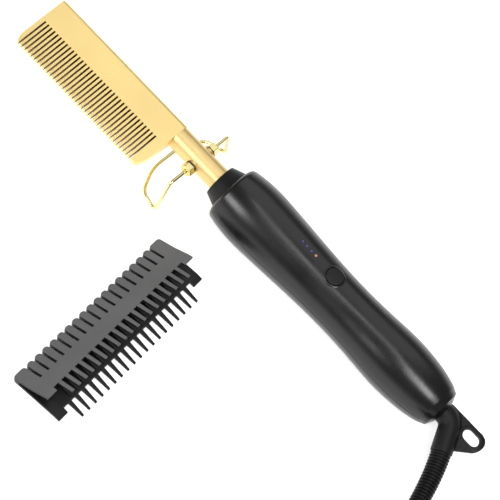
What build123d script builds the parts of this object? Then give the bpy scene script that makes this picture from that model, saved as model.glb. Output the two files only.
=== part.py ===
from build123d import *
from math import asin, atan2, cos, degrees, pi, radians, sin, sqrt
import os

os.makedirs("parts", exist_ok=True)

# A heated straightening comb with a folding wire stand, and its loose comb guard.
# Millimetres. Stations along the tool are measured from the front edge of the dark collar,
# towards the cord. The teeth point to -Y, the button faces up.

# Fits
slip_gap = 0.3
running_gap = 0.05
seat_gap = 0.05
fillet_spare = 0.1

# Comb head
comb_length = 91.5
comb_half_thickness = 6.0
comb_back = 5.6
comb_back_fillet = 2.8
face_break = 2.5
tooth_root = 11.7
tooth_root_half = 4.2
tooth_reach = 29.9
tooth_tip_half = 1.3
slot_count = 36
slot_pitch = 2.34
slot_width = 0.9
slot_start = 3.1
tip_corner = 2.4
tip_chamfer_length = 1.6
tip_chamfer_depth = 3.9
heel_depth = 10.0
heel_setback = 2.7

# Heater, sensor and their wires
heater_radius = 3.4
heater_length = 70.0
heater_gap = 0.1
heater_chamfer = 0.4
bore_end_gap = 1.0
sensor_radius = 1.1
sensor_length = 5.0
power_lead_radius = 0.8
power_lead_offset = 2.5
fuse_lead_offset = 2.1
sensor_lead_radius = 0.35
sensor_lead_offset = 0.6
lead_bend = 4.0
sensor_lead_bend = 2.0
fuse_radius = 1.5
fuse_length = 9.0
fuse_station = 8.0

# Shank
shank_visible = 30.85
shank_radius = 6.5
shank_bore = 3.7
shank_tail = 26.5
spigot_radius = 4.8
spigot_length = 10.0
retainer_radius = 10.5
retainer_length = 3.0

# Collar
collar_front_radius = 9.2
collar_front_station = 0.5
collar_radius = 12.0
collar_step_station = 8.0
collar_flange = 2.0
collar_flange_station = 13.6
collar_flange_length = 2.7
collar_end = 19.7

# Handle: stations and radii of the grip, front to rear
grip_front = 8.2
grip_front_radius = 13.6
grip_profile = [
    (10.2, 16.3),
    (16.4, 17.4),
    (24.0, 18.0),
    (37.9, 17.65),
    (56.0, 16.55),
    (74.7, 15.5),
    (93.0, 15.15),
    (111.5, 15.8),
    (130.0, 16.7),
    (142.0, 16.0),
    (151.5, 14.6),
    (157.6, 12.95),
]
grip_corner = (161.3, 11.2)
grip_end = 163.6
grip_wall = 2.2
front_rib_length = 2.0
parting_groove_depth = 0.35
parting_groove_half = 0.15
belly_station = 133.5
belly_crown = 0.115

# Swivel in the rear of the handle
neck_radius = 5.75
mouth_gap = 0.65
mouth_length = 4.7
swivel_flange_radius = 9.0
swivel_flange_length = 2.8
journal_radius = 7.0
bearing_length = 4.5
journal_overhang = 0.4
spindle_radius = 4.0
spindle_length = 11.3
core_tail_radius = 3.4
core_tail_length = 8.4
slip_ring_radius = 5.2
slip_ring_length = 2.5
slip_ring_first = 0.7
slip_ring_pitch = 5.0
block_radius = 12.6
block_length = 11.0
block_lead = 2.3
block_front_wall = 1.5
block_groove_depth = 0.6
block_rib_length = 2.0
block_bore_gap = 0.7
blade_thickness = 0.4
blade_half_length = 4.2
blade_headroom = 0.4

# Board and what is on it
board_start = 36.0
board_length = 76.0
board_width = 18.0
board_thickness = 1.6
board_underside = 7.2
board_corner = 1.0
capacitor_station = 84.0
capacitor_radius = 3.15
capacitor_length = 11.0
post_radius = 1.6
post_inset = 6.0
post_side = 6.5
# Station, side, length, width and height of the parts under and on the board
under_parts = [
    (58.0, 0.0, 13.0, 6.0, 9.0),
    (72.0, -4.0, 5.0, 4.0, 4.0),
    (72.0, 4.0, 5.0, 5.0, 6.0),
    (96.0, 0.0, 10.0, 8.0, 8.0),
]
upper_parts = [
    (90.0, 0.0, 6.0, 5.0, 1.5),
    (99.0, 2.0, 3.0, 1.6, 1.0),
    (44.5, 0.0, 3.2, 1.6, 1.0),
]
led_stations = [53.5, 56.6, 60.0, 63.2]
led_length = 2.0
led_width = 1.4
led_height = 1.2
lens_radius = 0.75
lens_skirt_radius = 1.35
lens_skirt_length = 1.0
lens_gap = 0.06
heater_lead_station = 39.5
sensor_lead_stations = [46.5, 49.5]
mains_lead_radius = 1.0
mains_lead_side = 6.0
mains_lead_level = 2.0
mains_lead_inset = 2.4

# Button and switch
button_station = 77.2
button_radius = 4.75
button_proud = 0.4
button_skirt = 0.85
button_travel = 0.5
button_fillet = 0.3
button_ear_reach = 6.4
button_ear_half = 1.5
button_ear_thickness = 0.9
switch_side = 4.5
switch_height = 3.2
plunger_radius = 1.2
plunger_spare = 0.2
plunger_hold = 1.2
button_play = 0.05

# Screws
screw_places = [(31.0, -9.5), (31.0, 9.5), (124.0, 0.0)]
screw_radius = 1.25
screw_reach = 8.0
screw_head_radius = 2.5
screw_head_height = 1.7
screw_shoulder = 6.0
screw_drive_radius = 1.1
screw_drive_depth = 0.9
boss_radius = 2.9
boss_wall = 1.3

# Stand
wire_radius = 0.95
stand_pivot = 14.4
stand_pivot_height = 22.0
stand_arm = 22.0
stand_foot_side = 27.7
stand_foot_setback = 1.4
stand_shoulder_side = 24.6
stand_shoulder = 10.0
stand_nose_side = 11.2
stand_nose = 16.4
stand_bend = 2.6
stand_shoulder_bend = 8.5
stand_nose_bend = 26.0
foot_flat = 0.25
hub_pad_radius = 3.6
hub_pad_side = 6.8
washer_radius = 3.3
washer_thickness = 0.8
bush_flats = 6.4
bush_length = 3.6
bush_spigot_radius = 1.8
bush_spigot_reach = 4.2
wire_insertion = 2.6

# Boot with its hanging lug
boot_tilt = 16.2
elbow_station = 169.4
elbow_angle = 63.6
elbow_leg = 17.4
elbow_radius = 7.6
lug_thickness = 2.6
lug_rim_height = 0.4
lug_rim_width = 1.3
lug_start = 167.0
lug_side = 6.2
lug_end = 190.2
lug_heel_side = -5.8
lug_foot = (179.5, -9.6)
lug_corner = 5.0
lug_heel_corner = 4.0
lug_hole_station = 182.4
lug_hole_side = 0.8
lug_hole_length = 10.0
lug_hole_width = 6.2

# Ribbed strain relief
rib_count = 24
rib_radius = 5.35
rib_end_radius = 4.6
rib_depth = 0.7
relief_lead = 13.0

# Cord: its points from the relief to the coil, on the floor under the collar's front edge
cord_radius = 3.0
cord_points = [
    (188.4, -54.5, 4.9),
    (189.6, -62.5, 4.1),
    (191.0, -71.0, 4.0),
    (191.0, -80.0, 4.0),
]
coil_turns = 7.5
coil_pitch = 6.5
coil_layer = 6.5
coil_outer = 48.5
coil_tail = 34.0
coil_tail_side = 3.0
coil_samples = 1500
tie_width = 8.0
tie_thickness = 0.8
tie_gap = 0.3

# Plug with two flat pins
plug_length = 36.0
plug_width = 23.0
plug_height = 14.0
plug_neck = 10.0
plug_neck_width = 11.0
plug_neck_height = 10.0
plug_fillet = 2.5
pin_spacing = 12.7
pin_length = 17.0
pin_width = 6.3
pin_thickness = 1.5

# Guard
guard_yaw = 93.74
guard_place = (3.65, -94.23)
guard_length = 111.0
guard_wall = 1.5
guard_tip_half = 1.5
guard_throat = 10.5
guard_throat_half = 3.2
guard_channel_start = 4.0
guard_channel_half = 0.7
guard_upper_root = 19.5
guard_upper_root_half = 6.0
guard_upper_tip = 28.2
guard_upper_tip_half = 7.0
guard_lower_root = 26.7
guard_lower_root_half = 6.0
guard_lower_tip = 35.6
guard_lower_tip_half = 9.0
guard_tip_wall = 0.8
guard_upper_flange = 22.0
guard_lower_flange = 29.6
guard_flange_width = 6.6
wide_end_least = 7.0
wide_slot_pitch = 5.51
wide_slot_width = 1.3
wide_tip_round = 1.8
thin_flange_gap = 3.0
thin_tooth_pitch = 4.93
thin_tooth_root = 2.3
thin_tooth_end = 1.3
thin_tooth_overrun = 2.0
guard_bend = 15.0

# Where things stand. The stand's feet and the handle's belly rest on the floor.


def grip_radius(station):
    """Outer radius of the grip at a station, between the given ones."""
    for (x0, r0), (x1, r1) in zip(grip_profile, grip_profile[1:]):
        if station <= x1:
            return r0 + (r1 - r0) * (station - x0) / (x1 - x0)
    return grip_profile[-1][1]


belly_radius = grip_radius(belly_station) + belly_crown
pitch = asin((stand_pivot_height - belly_radius) / (belly_station + stand_pivot))
axis_height = stand_pivot_height - stand_pivot * sin(pitch)
comb_heel = -shank_visible
comb_tip = comb_heel - comb_length

guard_roll = atan2(guard_lower_tip_half - guard_tip_half, guard_lower_tip)
wide_slot_room = guard_length - 2 * wide_end_least - wide_slot_width
wide_slot_count = 1 + int(wide_slot_room / wide_slot_pitch)
thin_tooth_room = guard_length - 2 * (guard_flange_width + thin_flange_gap)
thin_tooth_count = 1 + int(thin_tooth_room / thin_tooth_pitch)
yaw = radians(guard_yaw)

# The origin is under the middle of the tool and the guard together, on the floor
front_limit = comb_tip * cos(pitch) - comb_half_thickness * sin(pitch)
rear_limit = lug_end * cos(pitch)
guard_far_side = guard_place[1] - guard_length / 2 * sin(yaw)
foot_far_side = stand_foot_side + wire_radius / 2
middle_x = (front_limit + rear_limit) / 2
middle_y = (guard_far_side + foot_far_side) / 2
grip_side = max(radius for station, radius in grip_profile)

tool_direction = Vector(cos(pitch), 0, -sin(pitch))
tool_up = Vector(sin(pitch), 0, cos(pitch))
collar_origin = Vector(-middle_x, -middle_y, axis_height)
tool_axis = Axis(collar_origin, tool_direction)


def floor_point(x, y, z):
    """A point above the floor, from the spot under the collar's front edge."""
    return Vector(x - middle_x, y - middle_y, z)


def tool_point(x, y, z):
    return collar_origin + tool_direction * x + Vector(0, y, 0) + tool_up * z


def across(station, y=0.0, z=0.0):
    """Plane square to the tool: its x is +Y, its y is up."""
    return Plane(tool_point(station, y, z), x_dir=(0, 1, 0), z_dir=tool_direction)


def level(z):
    """Plane along the tool: its x runs to the cord, its y is +Y."""
    return Plane(tool_point(0, 0, z), x_dir=tool_direction, z_dir=tool_up)


def side(y):
    """Upright plane along the tool: its x runs to the cord, its y is up."""
    return Plane(tool_point(0, y, 0), x_dir=tool_direction, z_dir=(0, -1, 0))


def turned(points):
    """A closed profile of station and radius, turned about the tool's axis."""
    with BuildSketch(side(0)) as profile:
        Polygon(*points, align=None)
    revolve(profile.sketch, axis=tool_axis)


def export(piece, name):
    piece.part.label = name
    export_step(piece.part, "parts/" + name + ".step")


# Comb head
spigot_end = comb_heel - spigot_length
heater_rear = spigot_end - bore_end_gap
heater_front = heater_rear - heater_length
comb_bore = heater_radius + heater_gap

with BuildPart() as comb_head:
    with BuildSketch(across(comb_tip)):
        with BuildLine():
            Polyline(
                (comb_back, -comb_half_thickness),
                (comb_back, comb_half_thickness),
                (face_break, comb_half_thickness),
                (-tooth_root, tooth_root_half),
                (-tooth_reach, tooth_tip_half),
                (-tooth_reach, -tooth_tip_half),
                (-tooth_root, -tooth_root_half),
                (face_break, -comb_half_thickness),
                close=True,
            )
        make_face()
        back_corners = vertices().group_by(Axis.Y)[-1]
        fillet(back_corners, radius=min(comb_back_fillet, comb_back - face_break - fillet_spare))
    extrude(amount=comb_length)
    with BuildSketch(level(0)):
        with BuildLine():
            tip_side = Polyline(
                (comb_tip + tip_chamfer_length, -tooth_reach),
                (comb_tip, -tooth_reach + tip_chamfer_depth),
                (comb_tip, comb_back),
                (comb_heel, comb_back),
                (comb_heel, -tooth_reach + heel_depth),
            )
            heel_end = (comb_heel - heel_setback, -tooth_reach)
            TangentArc(tip_side @ 1, heel_end, tangent=tip_side % 1)
            Line(heel_end, tip_side @ 0)
        make_face()
        tip_back = vertices().group_by(Axis.Y)[-1].sort_by(Axis.X)[0]
        fillet(tip_back, radius=tip_corner)
    extrude(amount=2 * comb_half_thickness, both=True, mode=Mode.INTERSECT)
    slot_middle = comb_tip + slot_start + (slot_count - 1) * slot_pitch / 2
    with BuildSketch(level(0)):
        with Locations((slot_middle, -tooth_reach)):
            with GridLocations(slot_pitch, 0, slot_count, 1):
                Rectangle(slot_width, 2 * (tooth_reach - tooth_root))
    extrude(amount=2 * comb_half_thickness, both=True, mode=Mode.SUBTRACT)
    with BuildSketch(across(comb_heel)):
        Circle(spigot_radius + seat_gap)
    extrude(amount=-spigot_length - bore_end_gap, mode=Mode.SUBTRACT)
    with BuildSketch(across(comb_heel)):
        Circle(comb_bore)
    extrude(amount=heater_front - bore_end_gap - comb_heel, mode=Mode.SUBTRACT)
export(comb_head, "comb_head")

with BuildPart() as heater_cartridge:
    with BuildSketch(across(heater_front)):
        Circle(heater_radius)
    extrude(amount=heater_length)
    chamfer(edges().filter_by(GeomType.CIRCLE), length=heater_chamfer)
export(heater_cartridge, "heater_cartridge")

with BuildPart() as temperature_sensor:
    with BuildSketch(across(heater_rear)):
        Circle(sensor_radius)
    extrude(amount=sensor_length)
export(temperature_sensor, "temperature_sensor")

# Shank with its spigot, its two pads for the stand and the cross holes of the bushes
with BuildPart() as shank_tube:
    turned(
        [
            (spigot_end, shank_bore),
            (spigot_end, spigot_radius),
            (comb_heel, spigot_radius),
            (comb_heel, shank_radius),
            (shank_tail, shank_radius),
            (shank_tail, shank_bore),
        ]
    )
    with BuildSketch(side(-hub_pad_side)):
        with Locations((-stand_pivot, 0)):
            Circle(hub_pad_radius)
    extrude(amount=-2 * hub_pad_side)
    with BuildSketch(across(spigot_end)):
        Circle(shank_bore)
    extrude(amount=shank_tail - spigot_end, mode=Mode.SUBTRACT)
    with BuildSketch(side(-hub_pad_side)):
        with Locations((-stand_pivot, 0)):
            Circle(bush_spigot_radius + seat_gap)
    extrude(amount=-2 * hub_pad_side, mode=Mode.SUBTRACT)
export(shank_tube, "shank_tube")

with BuildPart() as pivot_washers:
    for hand in (-1, 1):
        with BuildSketch(side(hand * hub_pad_side)):
            with Locations((-stand_pivot, 0)):
                Circle(washer_radius)
                Circle(bush_spigot_radius + seat_gap, mode=Mode.SUBTRACT)
        extrude(amount=-hand * washer_thickness)
export(pivot_washers, "pivot_washers")

bush_face = hub_pad_side + washer_thickness
bush_outer = bush_face + bush_length
with BuildPart() as pivot_bushes:
    for hand in (-1, 1):
        with BuildSketch(side(hand * bush_face)):
            with Locations((-stand_pivot, 0)):
                RegularPolygon(bush_flats / 2, 6, major_radius=False)
        extrude(amount=-hand * bush_length)
        with BuildSketch(side(hand * bush_spigot_reach)):
            with Locations((-stand_pivot, 0)):
                Circle(bush_spigot_radius)
        extrude(amount=-hand * (bush_face - bush_spigot_reach))
        with BuildSketch(side(hand * bush_outer)):
            with Locations((-stand_pivot, 0)):
                Circle(wire_radius + running_gap)
        extrude(amount=hand * (wire_insertion + slip_gap), mode=Mode.SUBTRACT)
export(pivot_bushes, "pivot_bushes")

# Stand: one bent wire, its loop flat on the floor
pivot_place = tool_point(-stand_pivot, 0, 0)
loop_height = wire_radius - foot_flat


def stand_point(forward, side_reach, height):
    """A point of the stand: forward of the pivot towards the comb, out to the side, above the floor."""
    return Vector(pivot_place.X - forward, pivot_place.Y + side_reach, height)


with BuildPart() as stand_wire:
    half_route = [
        (0, bush_outer - wire_insertion, stand_pivot_height),
        (0, stand_arm, stand_pivot_height),
        (-stand_foot_setback, stand_foot_side, loop_height),
        (stand_shoulder, stand_shoulder_side, loop_height),
        (stand_nose, stand_nose_side, loop_height),
    ]
    near_side = [stand_point(f, -s, h) for f, s, h in half_route]
    far_side = [stand_point(f, s, h) for f, s, h in reversed(half_route)]
    bends = [stand_bend, stand_bend, stand_shoulder_bend, stand_nose_bend]
    with BuildLine() as stand_line:
        FilletPolyline(*near_side, *far_side, radius=bends + bends[::-1])
    with BuildSketch(Plane(stand_line.line @ 0, z_dir=stand_line.line % 0)):
        Circle(wire_radius)
    sweep(path=stand_line.wire())
    with BuildSketch(Plane.XY):
        with Locations((pivot_place.X, pivot_place.Y)):
            Rectangle(4 * stand_nose, 4 * stand_foot_side)
    extrude(amount=-wire_radius, mode=Mode.SUBTRACT)
export(stand_wire, "stand_wire")

# Collar and the ring behind it that holds the shank
collar_bore = shank_radius + slip_gap
with BuildPart() as heat_collar:
    turned(
        [
            (collar_front_station, collar_bore),
            (collar_front_station, collar_front_radius),
            (collar_step_station, collar_radius),
            (collar_flange_station, collar_radius),
            (collar_flange_station, collar_radius + collar_flange),
            (collar_flange_station + collar_flange_length, collar_radius + collar_flange),
            (collar_flange_station + collar_flange_length, collar_radius),
            (collar_end, collar_radius),
            (collar_end, collar_bore),
        ]
    )
export(heat_collar, "heat_collar")

retainer_station = collar_end + slip_gap
with BuildPart() as shank_retainer:
    turned(
        [
            (retainer_station, shank_radius + seat_gap),
            (retainer_station, retainer_radius),
            (retainer_station + retainer_length, retainer_radius),
            (retainer_station + retainer_length, shank_radius + seat_gap),
        ]
    )
export(shank_retainer, "shank_retainer")

# Handle shells
mouth_station = grip_end - mouth_length
flange_groove = mouth_station - swivel_flange_length - 2 * slip_gap
bearing_station = flange_groove - bearing_length
front_rib = retainer_station + retainer_length + slip_gap
cavity_start = front_rib + front_rib_length
collar_gap_radius = collar_radius + slip_gap
flange_gap_radius = collar_gap_radius + collar_flange
flange_front = collar_flange_station - slip_gap
flange_rear = collar_flange_station + collar_flange_length + slip_gap
block_station = bearing_station - block_lead - block_length
block_rib = block_station + (block_length - block_rib_length) / 2
block_seat = block_radius - block_groove_depth


def inner_radius(station):
    return grip_radius(station) - grip_wall


def roof(station, y):
    """Height of the cavity's wall above the tool's axis, at a distance to the side."""
    return sqrt(inner_radius(station) ** 2 - y**2)


def turn_grip():
    """Wall of the handle, with the seats of the collar, the shank, the contact block and the swivel."""
    inner_stations = [x for x, r in grip_profile if cavity_start + 3 < x < bearing_station - 3]
    inner_stations = [cavity_start] + inner_stations + [bearing_station]
    rib_top = inner_radius(block_rib) + grip_wall / 2
    rib_end = block_rib + block_rib_length
    with BuildSketch(side(0)) as wall:
        with BuildLine():
            lip = Line((grip_front, collar_gap_radius), (grip_front, grip_front_radius))
            TangentArc(lip @ 1, grip_profile[0], tangent=(0, 1))
            Spline(*grip_profile)
            Polyline(
                grip_profile[-1],
                grip_corner,
                (grip_end, neck_radius + mouth_gap),
                (mouth_station, neck_radius + mouth_gap),
                (mouth_station, swivel_flange_radius + slip_gap),
                (flange_groove, swivel_flange_radius + slip_gap),
                (flange_groove, journal_radius + running_gap),
                (bearing_station, journal_radius + running_gap),
                (bearing_station, inner_radius(bearing_station)),
            )
            Spline(*[(x, inner_radius(x)) for x in reversed(inner_stations)])
            Polyline(
                (cavity_start, inner_radius(cavity_start)),
                (cavity_start, shank_radius + slip_gap),
                (front_rib, shank_radius + slip_gap),
                (front_rib, collar_gap_radius),
                (flange_rear, collar_gap_radius),
                (flange_rear, flange_gap_radius),
                (flange_front, flange_gap_radius),
                (flange_front, collar_gap_radius),
                (grip_front, collar_gap_radius),
            )
        make_face()
        Polygon(
            (block_rib, block_seat + seat_gap),
            (block_rib, rib_top),
            (rib_end, rib_top),
            (rib_end, block_seat + seat_gap),
            align=None,
        )
    revolve(wall.sketch, axis=tool_axis)


def trim_to_wall():
    """Cut the screw bosses off in the middle of the wall's thickness, before the wall is added."""
    wall_middle = [(x, r - grip_wall / 2) for x, r in grip_profile]
    with BuildSketch(side(0)) as core:
        with BuildLine():
            Spline(*wall_middle)
            Polyline(wall_middle[-1], (wall_middle[-1][0], 0), (wall_middle[0][0], 0), wall_middle[0])
        make_face()
    revolve(core.sketch, axis=tool_axis, mode=Mode.INTERSECT)


def cut_parting_groove(upward):
    """Fine step along the outer edge where the shells meet."""
    with BuildSketch(level(0)) as band:
        for hand in (-1, 1):
            inner_line = [(x, hand * (r - parting_groove_depth)) for x, r in grip_profile]
            outer_line = [(x, hand * (r + parting_groove_depth)) for x, r in grip_profile]
            with BuildLine():
                Spline(*inner_line)
                Line(inner_line[-1], outer_line[-1])
                Spline(*reversed(outer_line))
                Line(outer_line[0], inner_line[0])
            make_face()
    extrude(band.sketch, amount=upward * parting_groove_half, mode=Mode.SUBTRACT)


post_places = [
    (station, hand * post_side)
    for station in (board_start + post_inset, board_start + board_length - post_inset)
    for hand in (-1, 1)
]
board_top = board_underside + board_thickness
mains_lead_station = board_start + board_length - mains_lead_inset

with BuildPart() as handle_top_shell:
    with BuildSketch(level(0)):
        with Locations(*screw_places):
            Circle(boss_radius)
    extrude(amount=grip_side)
    trim_to_wall()
    turn_grip()
    split(bisect_by=level(0), keep=Keep.TOP)
    with BuildSketch(level(0)):
        with Locations(*screw_places):
            Circle(screw_radius + seat_gap)
    extrude(amount=screw_reach + slip_gap, mode=Mode.SUBTRACT)
    for station, y in post_places:
        with BuildSketch(level(board_top)):
            with Locations((station, y)):
                Circle(post_radius)
        extrude(amount=roof(station, y) + grip_wall / 3 - board_top)
    with BuildSketch(level(board_top)):
        with Locations((button_station, 0)):
            Circle(button_radius + slip_gap)
        for station in led_stations:
            with Locations((station, 0)):
                Circle(lens_radius + lens_gap)
    extrude(amount=grip_side, mode=Mode.SUBTRACT)
    cut_parting_groove(1)
export(handle_top_shell, "handle_top_shell")

with BuildPart() as handle_bottom_shell:
    with BuildSketch(level(0)):
        with Locations(*screw_places):
            Circle(screw_head_radius + boss_wall + slip_gap)
    extrude(amount=-grip_side)
    trim_to_wall()
    turn_grip()
    split(bisect_by=level(0), keep=Keep.BOTTOM)
    with BuildSketch(level(0)):
        with Locations(*screw_places):
            Circle(screw_radius + 2 * seat_gap)
    extrude(amount=-grip_side, mode=Mode.SUBTRACT)
    with BuildSketch(level(-screw_shoulder)):
        with Locations(*screw_places):
            Circle(screw_head_radius + slip_gap)
    extrude(amount=-grip_side, mode=Mode.SUBTRACT)
    for station, y in post_places:
        with BuildSketch(level(board_underside)):
            with Locations((station, y)):
                Circle(post_radius)
        extrude(amount=-roof(station, y) - grip_wall / 3 - board_underside)
    cut_parting_groove(-1)
export(handle_bottom_shell, "handle_bottom_shell")

with BuildPart() as case_screws:
    for station, y in screw_places:
        with BuildSketch(level(-screw_shoulder)):
            with Locations((station, y)):
                Circle(screw_radius)
        extrude(amount=screw_shoulder + screw_reach)
        with BuildSketch(level(-screw_shoulder)):
            with Locations((station, y)):
                Circle(screw_head_radius)
        extrude(amount=-screw_head_height)
        with BuildSketch(level(-screw_shoulder - screw_head_height)):
            with Locations((station, y)):
                Rectangle(4 * screw_drive_radius, screw_drive_radius / 2)
                Rectangle(screw_drive_radius / 2, 4 * screw_drive_radius)
                Circle(screw_drive_radius, mode=Mode.INTERSECT)
        extrude(amount=screw_drive_depth, mode=Mode.SUBTRACT)
export(case_screws, "case_screws")

# Board and the parts on it
with BuildPart() as control_board:
    with BuildSketch(level(board_underside)):
        with Locations((board_start + board_length / 2, 0)):
            Rectangle(board_length, board_width)
        fillet(vertices(), radius=board_corner)
    extrude(amount=board_thickness)
export(control_board, "control_board")

with BuildPart() as board_components:
    for station, y, length, width, height in under_parts:
        with BuildSketch(level(board_underside)):
            with Locations((station, y)):
                Rectangle(length, width)
        extrude(amount=-height)
    with BuildSketch(level(board_underside)):
        with Locations((capacitor_station, 0)):
            Circle(capacitor_radius)
    extrude(amount=-capacitor_length)
    for station, y, length, width, height in upper_parts:
        with BuildSketch(level(board_top)):
            with Locations((station, y)):
                Rectangle(length, width)
        extrude(amount=height)
export(board_components, "board_components")

with BuildPart() as led_indicators:
    for station in led_stations:
        with BuildSketch(level(board_top)):
            with Locations((station, 0)):
                Rectangle(led_length, led_width)
        extrude(amount=led_height)
export(led_indicators, "led_indicators")

lens_start = board_top + led_height + slip_gap
with BuildPart() as led_lenses:
    for station in led_stations:
        skirt_top = inner_radius(station) - slip_gap
        with BuildSketch(level(lens_start)):
            with Locations((station, 0)):
                Circle(lens_radius)
        extrude(amount=grip_radius(station) - lens_start)
        with BuildSketch(level(skirt_top)):
            with Locations((station, 0)):
                Circle(lens_skirt_radius)
        extrude(amount=-lens_skirt_length)
export(led_lenses, "led_lenses")

with BuildPart() as tact_switch:
    with BuildSketch(level(board_top)):
        with Locations((button_station, 0)):
            Rectangle(switch_side, switch_side)
    extrude(amount=switch_height)
    with BuildSketch(level(board_top + switch_height)):
        with Locations((button_station, 0)):
            Circle(plunger_radius + running_gap)
    extrude(amount=-plunger_hold - button_travel - slip_gap, mode=Mode.SUBTRACT)
export(tact_switch, "tact_switch")

plunger_top = board_top + switch_height + button_travel + plunger_spare
with BuildPart() as switch_plunger:
    with BuildSketch(level(plunger_top)):
        with Locations((button_station, 0)):
            Circle(plunger_radius)
    extrude(amount=-button_travel - plunger_spare - plunger_hold)
export(switch_plunger, "switch_plunger")

# Button: a cap in the grip's curve, a skirt round the switch, and two ears under the wall
cap_underside = plunger_top + button_play
ear_top = sqrt(inner_radius(button_station) ** 2 - button_ear_half**2) - slip_gap
ear_bottom = ear_top - button_ear_thickness
with BuildPart() as power_button:
    with BuildSketch(level(ear_bottom)):
        with Locations((button_station, 0)):
            Circle(button_radius)
    extrude(amount=grip_side - ear_bottom)
    with BuildSketch(across(button_station - 2 * button_radius)):
        Circle(grip_radius(button_station) + button_proud)
    extrude(amount=4 * button_radius, mode=Mode.INTERSECT)
    fillet(edges().group_by(Axis(collar_origin, tool_up))[-1], radius=button_fillet)
    with BuildSketch(level(ear_bottom)):
        with Locations((button_station, 0)):
            Rectangle(2 * button_ear_reach, 2 * button_ear_half)
    extrude(amount=button_ear_thickness)
    with BuildSketch(level(ear_bottom)):
        with Locations((button_station, 0)):
            Circle(button_radius - button_skirt)
    extrude(amount=cap_underside - ear_bottom, mode=Mode.SUBTRACT)
export(power_button, "power_button")

# Wires and the fuse


def bent_wire(start, y, z, rise_station, radius, bend):
    """A wire along the tool that rises to the board's underside."""
    with BuildLine(side(y)) as wire_line:
        FilletPolyline((start, z), (rise_station, z), (rise_station, board_underside), radius=bend)
    with BuildSketch(across(start, y, z)) as section:
        Circle(radius)
    sweep(section.sketch, path=wire_line.wire())


fuse_end = fuse_station + fuse_length
with BuildPart() as heater_leads:
    with BuildSketch(across(heater_rear, -fuse_lead_offset)):
        Circle(power_lead_radius)
    extrude(amount=fuse_station - heater_rear)
    bent_wire(fuse_end, -fuse_lead_offset, 0, heater_lead_station, power_lead_radius, lead_bend)
    bent_wire(heater_rear, power_lead_offset, 0, heater_lead_station, power_lead_radius, lead_bend)
export(heater_leads, "heater_leads")

with BuildPart() as thermal_fuse:
    with BuildSketch(across(fuse_station, -fuse_lead_offset)):
        Circle(fuse_radius)
    extrude(amount=fuse_length)
export(thermal_fuse, "thermal_fuse")

sensor_rear = heater_rear + sensor_length
with BuildPart() as sensor_leads:
    for station, height in zip(sensor_lead_stations, (sensor_lead_offset, -sensor_lead_offset)):
        bent_wire(sensor_rear, 0, height, station, sensor_lead_radius, sensor_lead_bend)
export(sensor_leads, "sensor_leads")

with BuildPart() as mains_leads:
    for hand in (-1, 1):
        with BuildLine(side(hand * mains_lead_side)) as mains_line:
            FilletPolyline(
                (block_station, mains_lead_level),
                (mains_lead_station, mains_lead_level),
                (mains_lead_station, board_underside),
                radius=lead_bend,
            )
        with BuildSketch(across(block_station, hand * mains_lead_side, mains_lead_level)):
            Circle(mains_lead_radius)
        sweep(path=mains_line.wire())
export(mains_leads, "mains_leads")

# Swivel: the fixed block with its blades, and the turning core with its rings
core_shoulder = bearing_station - journal_overhang
spindle_end = core_shoulder - spindle_length
core_flange = flange_groove + slip_gap
core_flange_end = core_flange + swivel_flange_length
core_tail_end = core_flange_end + core_tail_length
ring_stations = [spindle_end + slip_ring_first + step * slip_ring_pitch for step in range(2)]
blade_level = slip_ring_radius + running_gap
block_bore = slip_ring_radius + block_bore_gap

with BuildPart() as contact_block:
    turned(
        [
            (block_station, 0),
            (block_station, block_radius),
            (block_rib - seat_gap, block_radius),
            (block_rib - seat_gap, block_seat),
            (block_rib + block_rib_length + seat_gap, block_seat),
            (block_rib + block_rib_length + seat_gap, block_radius),
            (block_station + block_length, block_radius),
            (block_station + block_length, block_bore),
            (block_station + block_front_wall, block_bore),
            (block_station + block_front_wall, 0),
        ]
    )
    for station in ring_stations:
        with BuildSketch(level(0)):
            with Locations((station + slip_ring_length / 2, 0)):
                Rectangle(slip_ring_length + 2 * seat_gap, 2 * (blade_half_length + seat_gap))
        extrude(amount=blade_level + blade_thickness + blade_headroom, mode=Mode.SUBTRACT)
export(contact_block, "contact_block")

with BuildPart() as contact_blades:
    for station in ring_stations:
        with BuildSketch(level(blade_level)):
            with Locations((station + slip_ring_length / 2, 0)):
                Rectangle(slip_ring_length, 2 * blade_half_length)
        extrude(amount=blade_thickness)
export(contact_blades, "contact_blades")

with BuildPart() as swivel_core:
    turned(
        [
            (spindle_end, 0),
            (spindle_end, spindle_radius),
            (core_shoulder, spindle_radius),
            (core_shoulder, journal_radius),
            (core_flange, journal_radius),
            (core_flange, swivel_flange_radius),
            (core_flange_end, swivel_flange_radius),
            (core_flange_end, core_tail_radius),
            (core_tail_end, core_tail_radius),
            (core_tail_end, 0),
        ]
    )
export(swivel_core, "swivel_core")

with BuildPart() as slip_rings:
    for station in ring_stations:
        with BuildSketch(across(station)):
            Circle(slip_ring_radius)
            Circle(spindle_radius + seat_gap, mode=Mode.SUBTRACT)
        extrude(amount=slip_ring_length)
export(slip_rings, "slip_rings")

# Boot: neck, elbow and lug in one plane that leans with the cord
lean = radians(boot_tilt)
boot_plane = Plane(
    collar_origin,
    x_dir=tool_direction,
    z_dir=tool_up * cos(lean) - Vector(0, 1, 0) * sin(lean),
)
elbow_turn = radians(elbow_angle)
leg_end = (elbow_station + elbow_leg * cos(elbow_turn), -elbow_leg * sin(elbow_turn))

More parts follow.
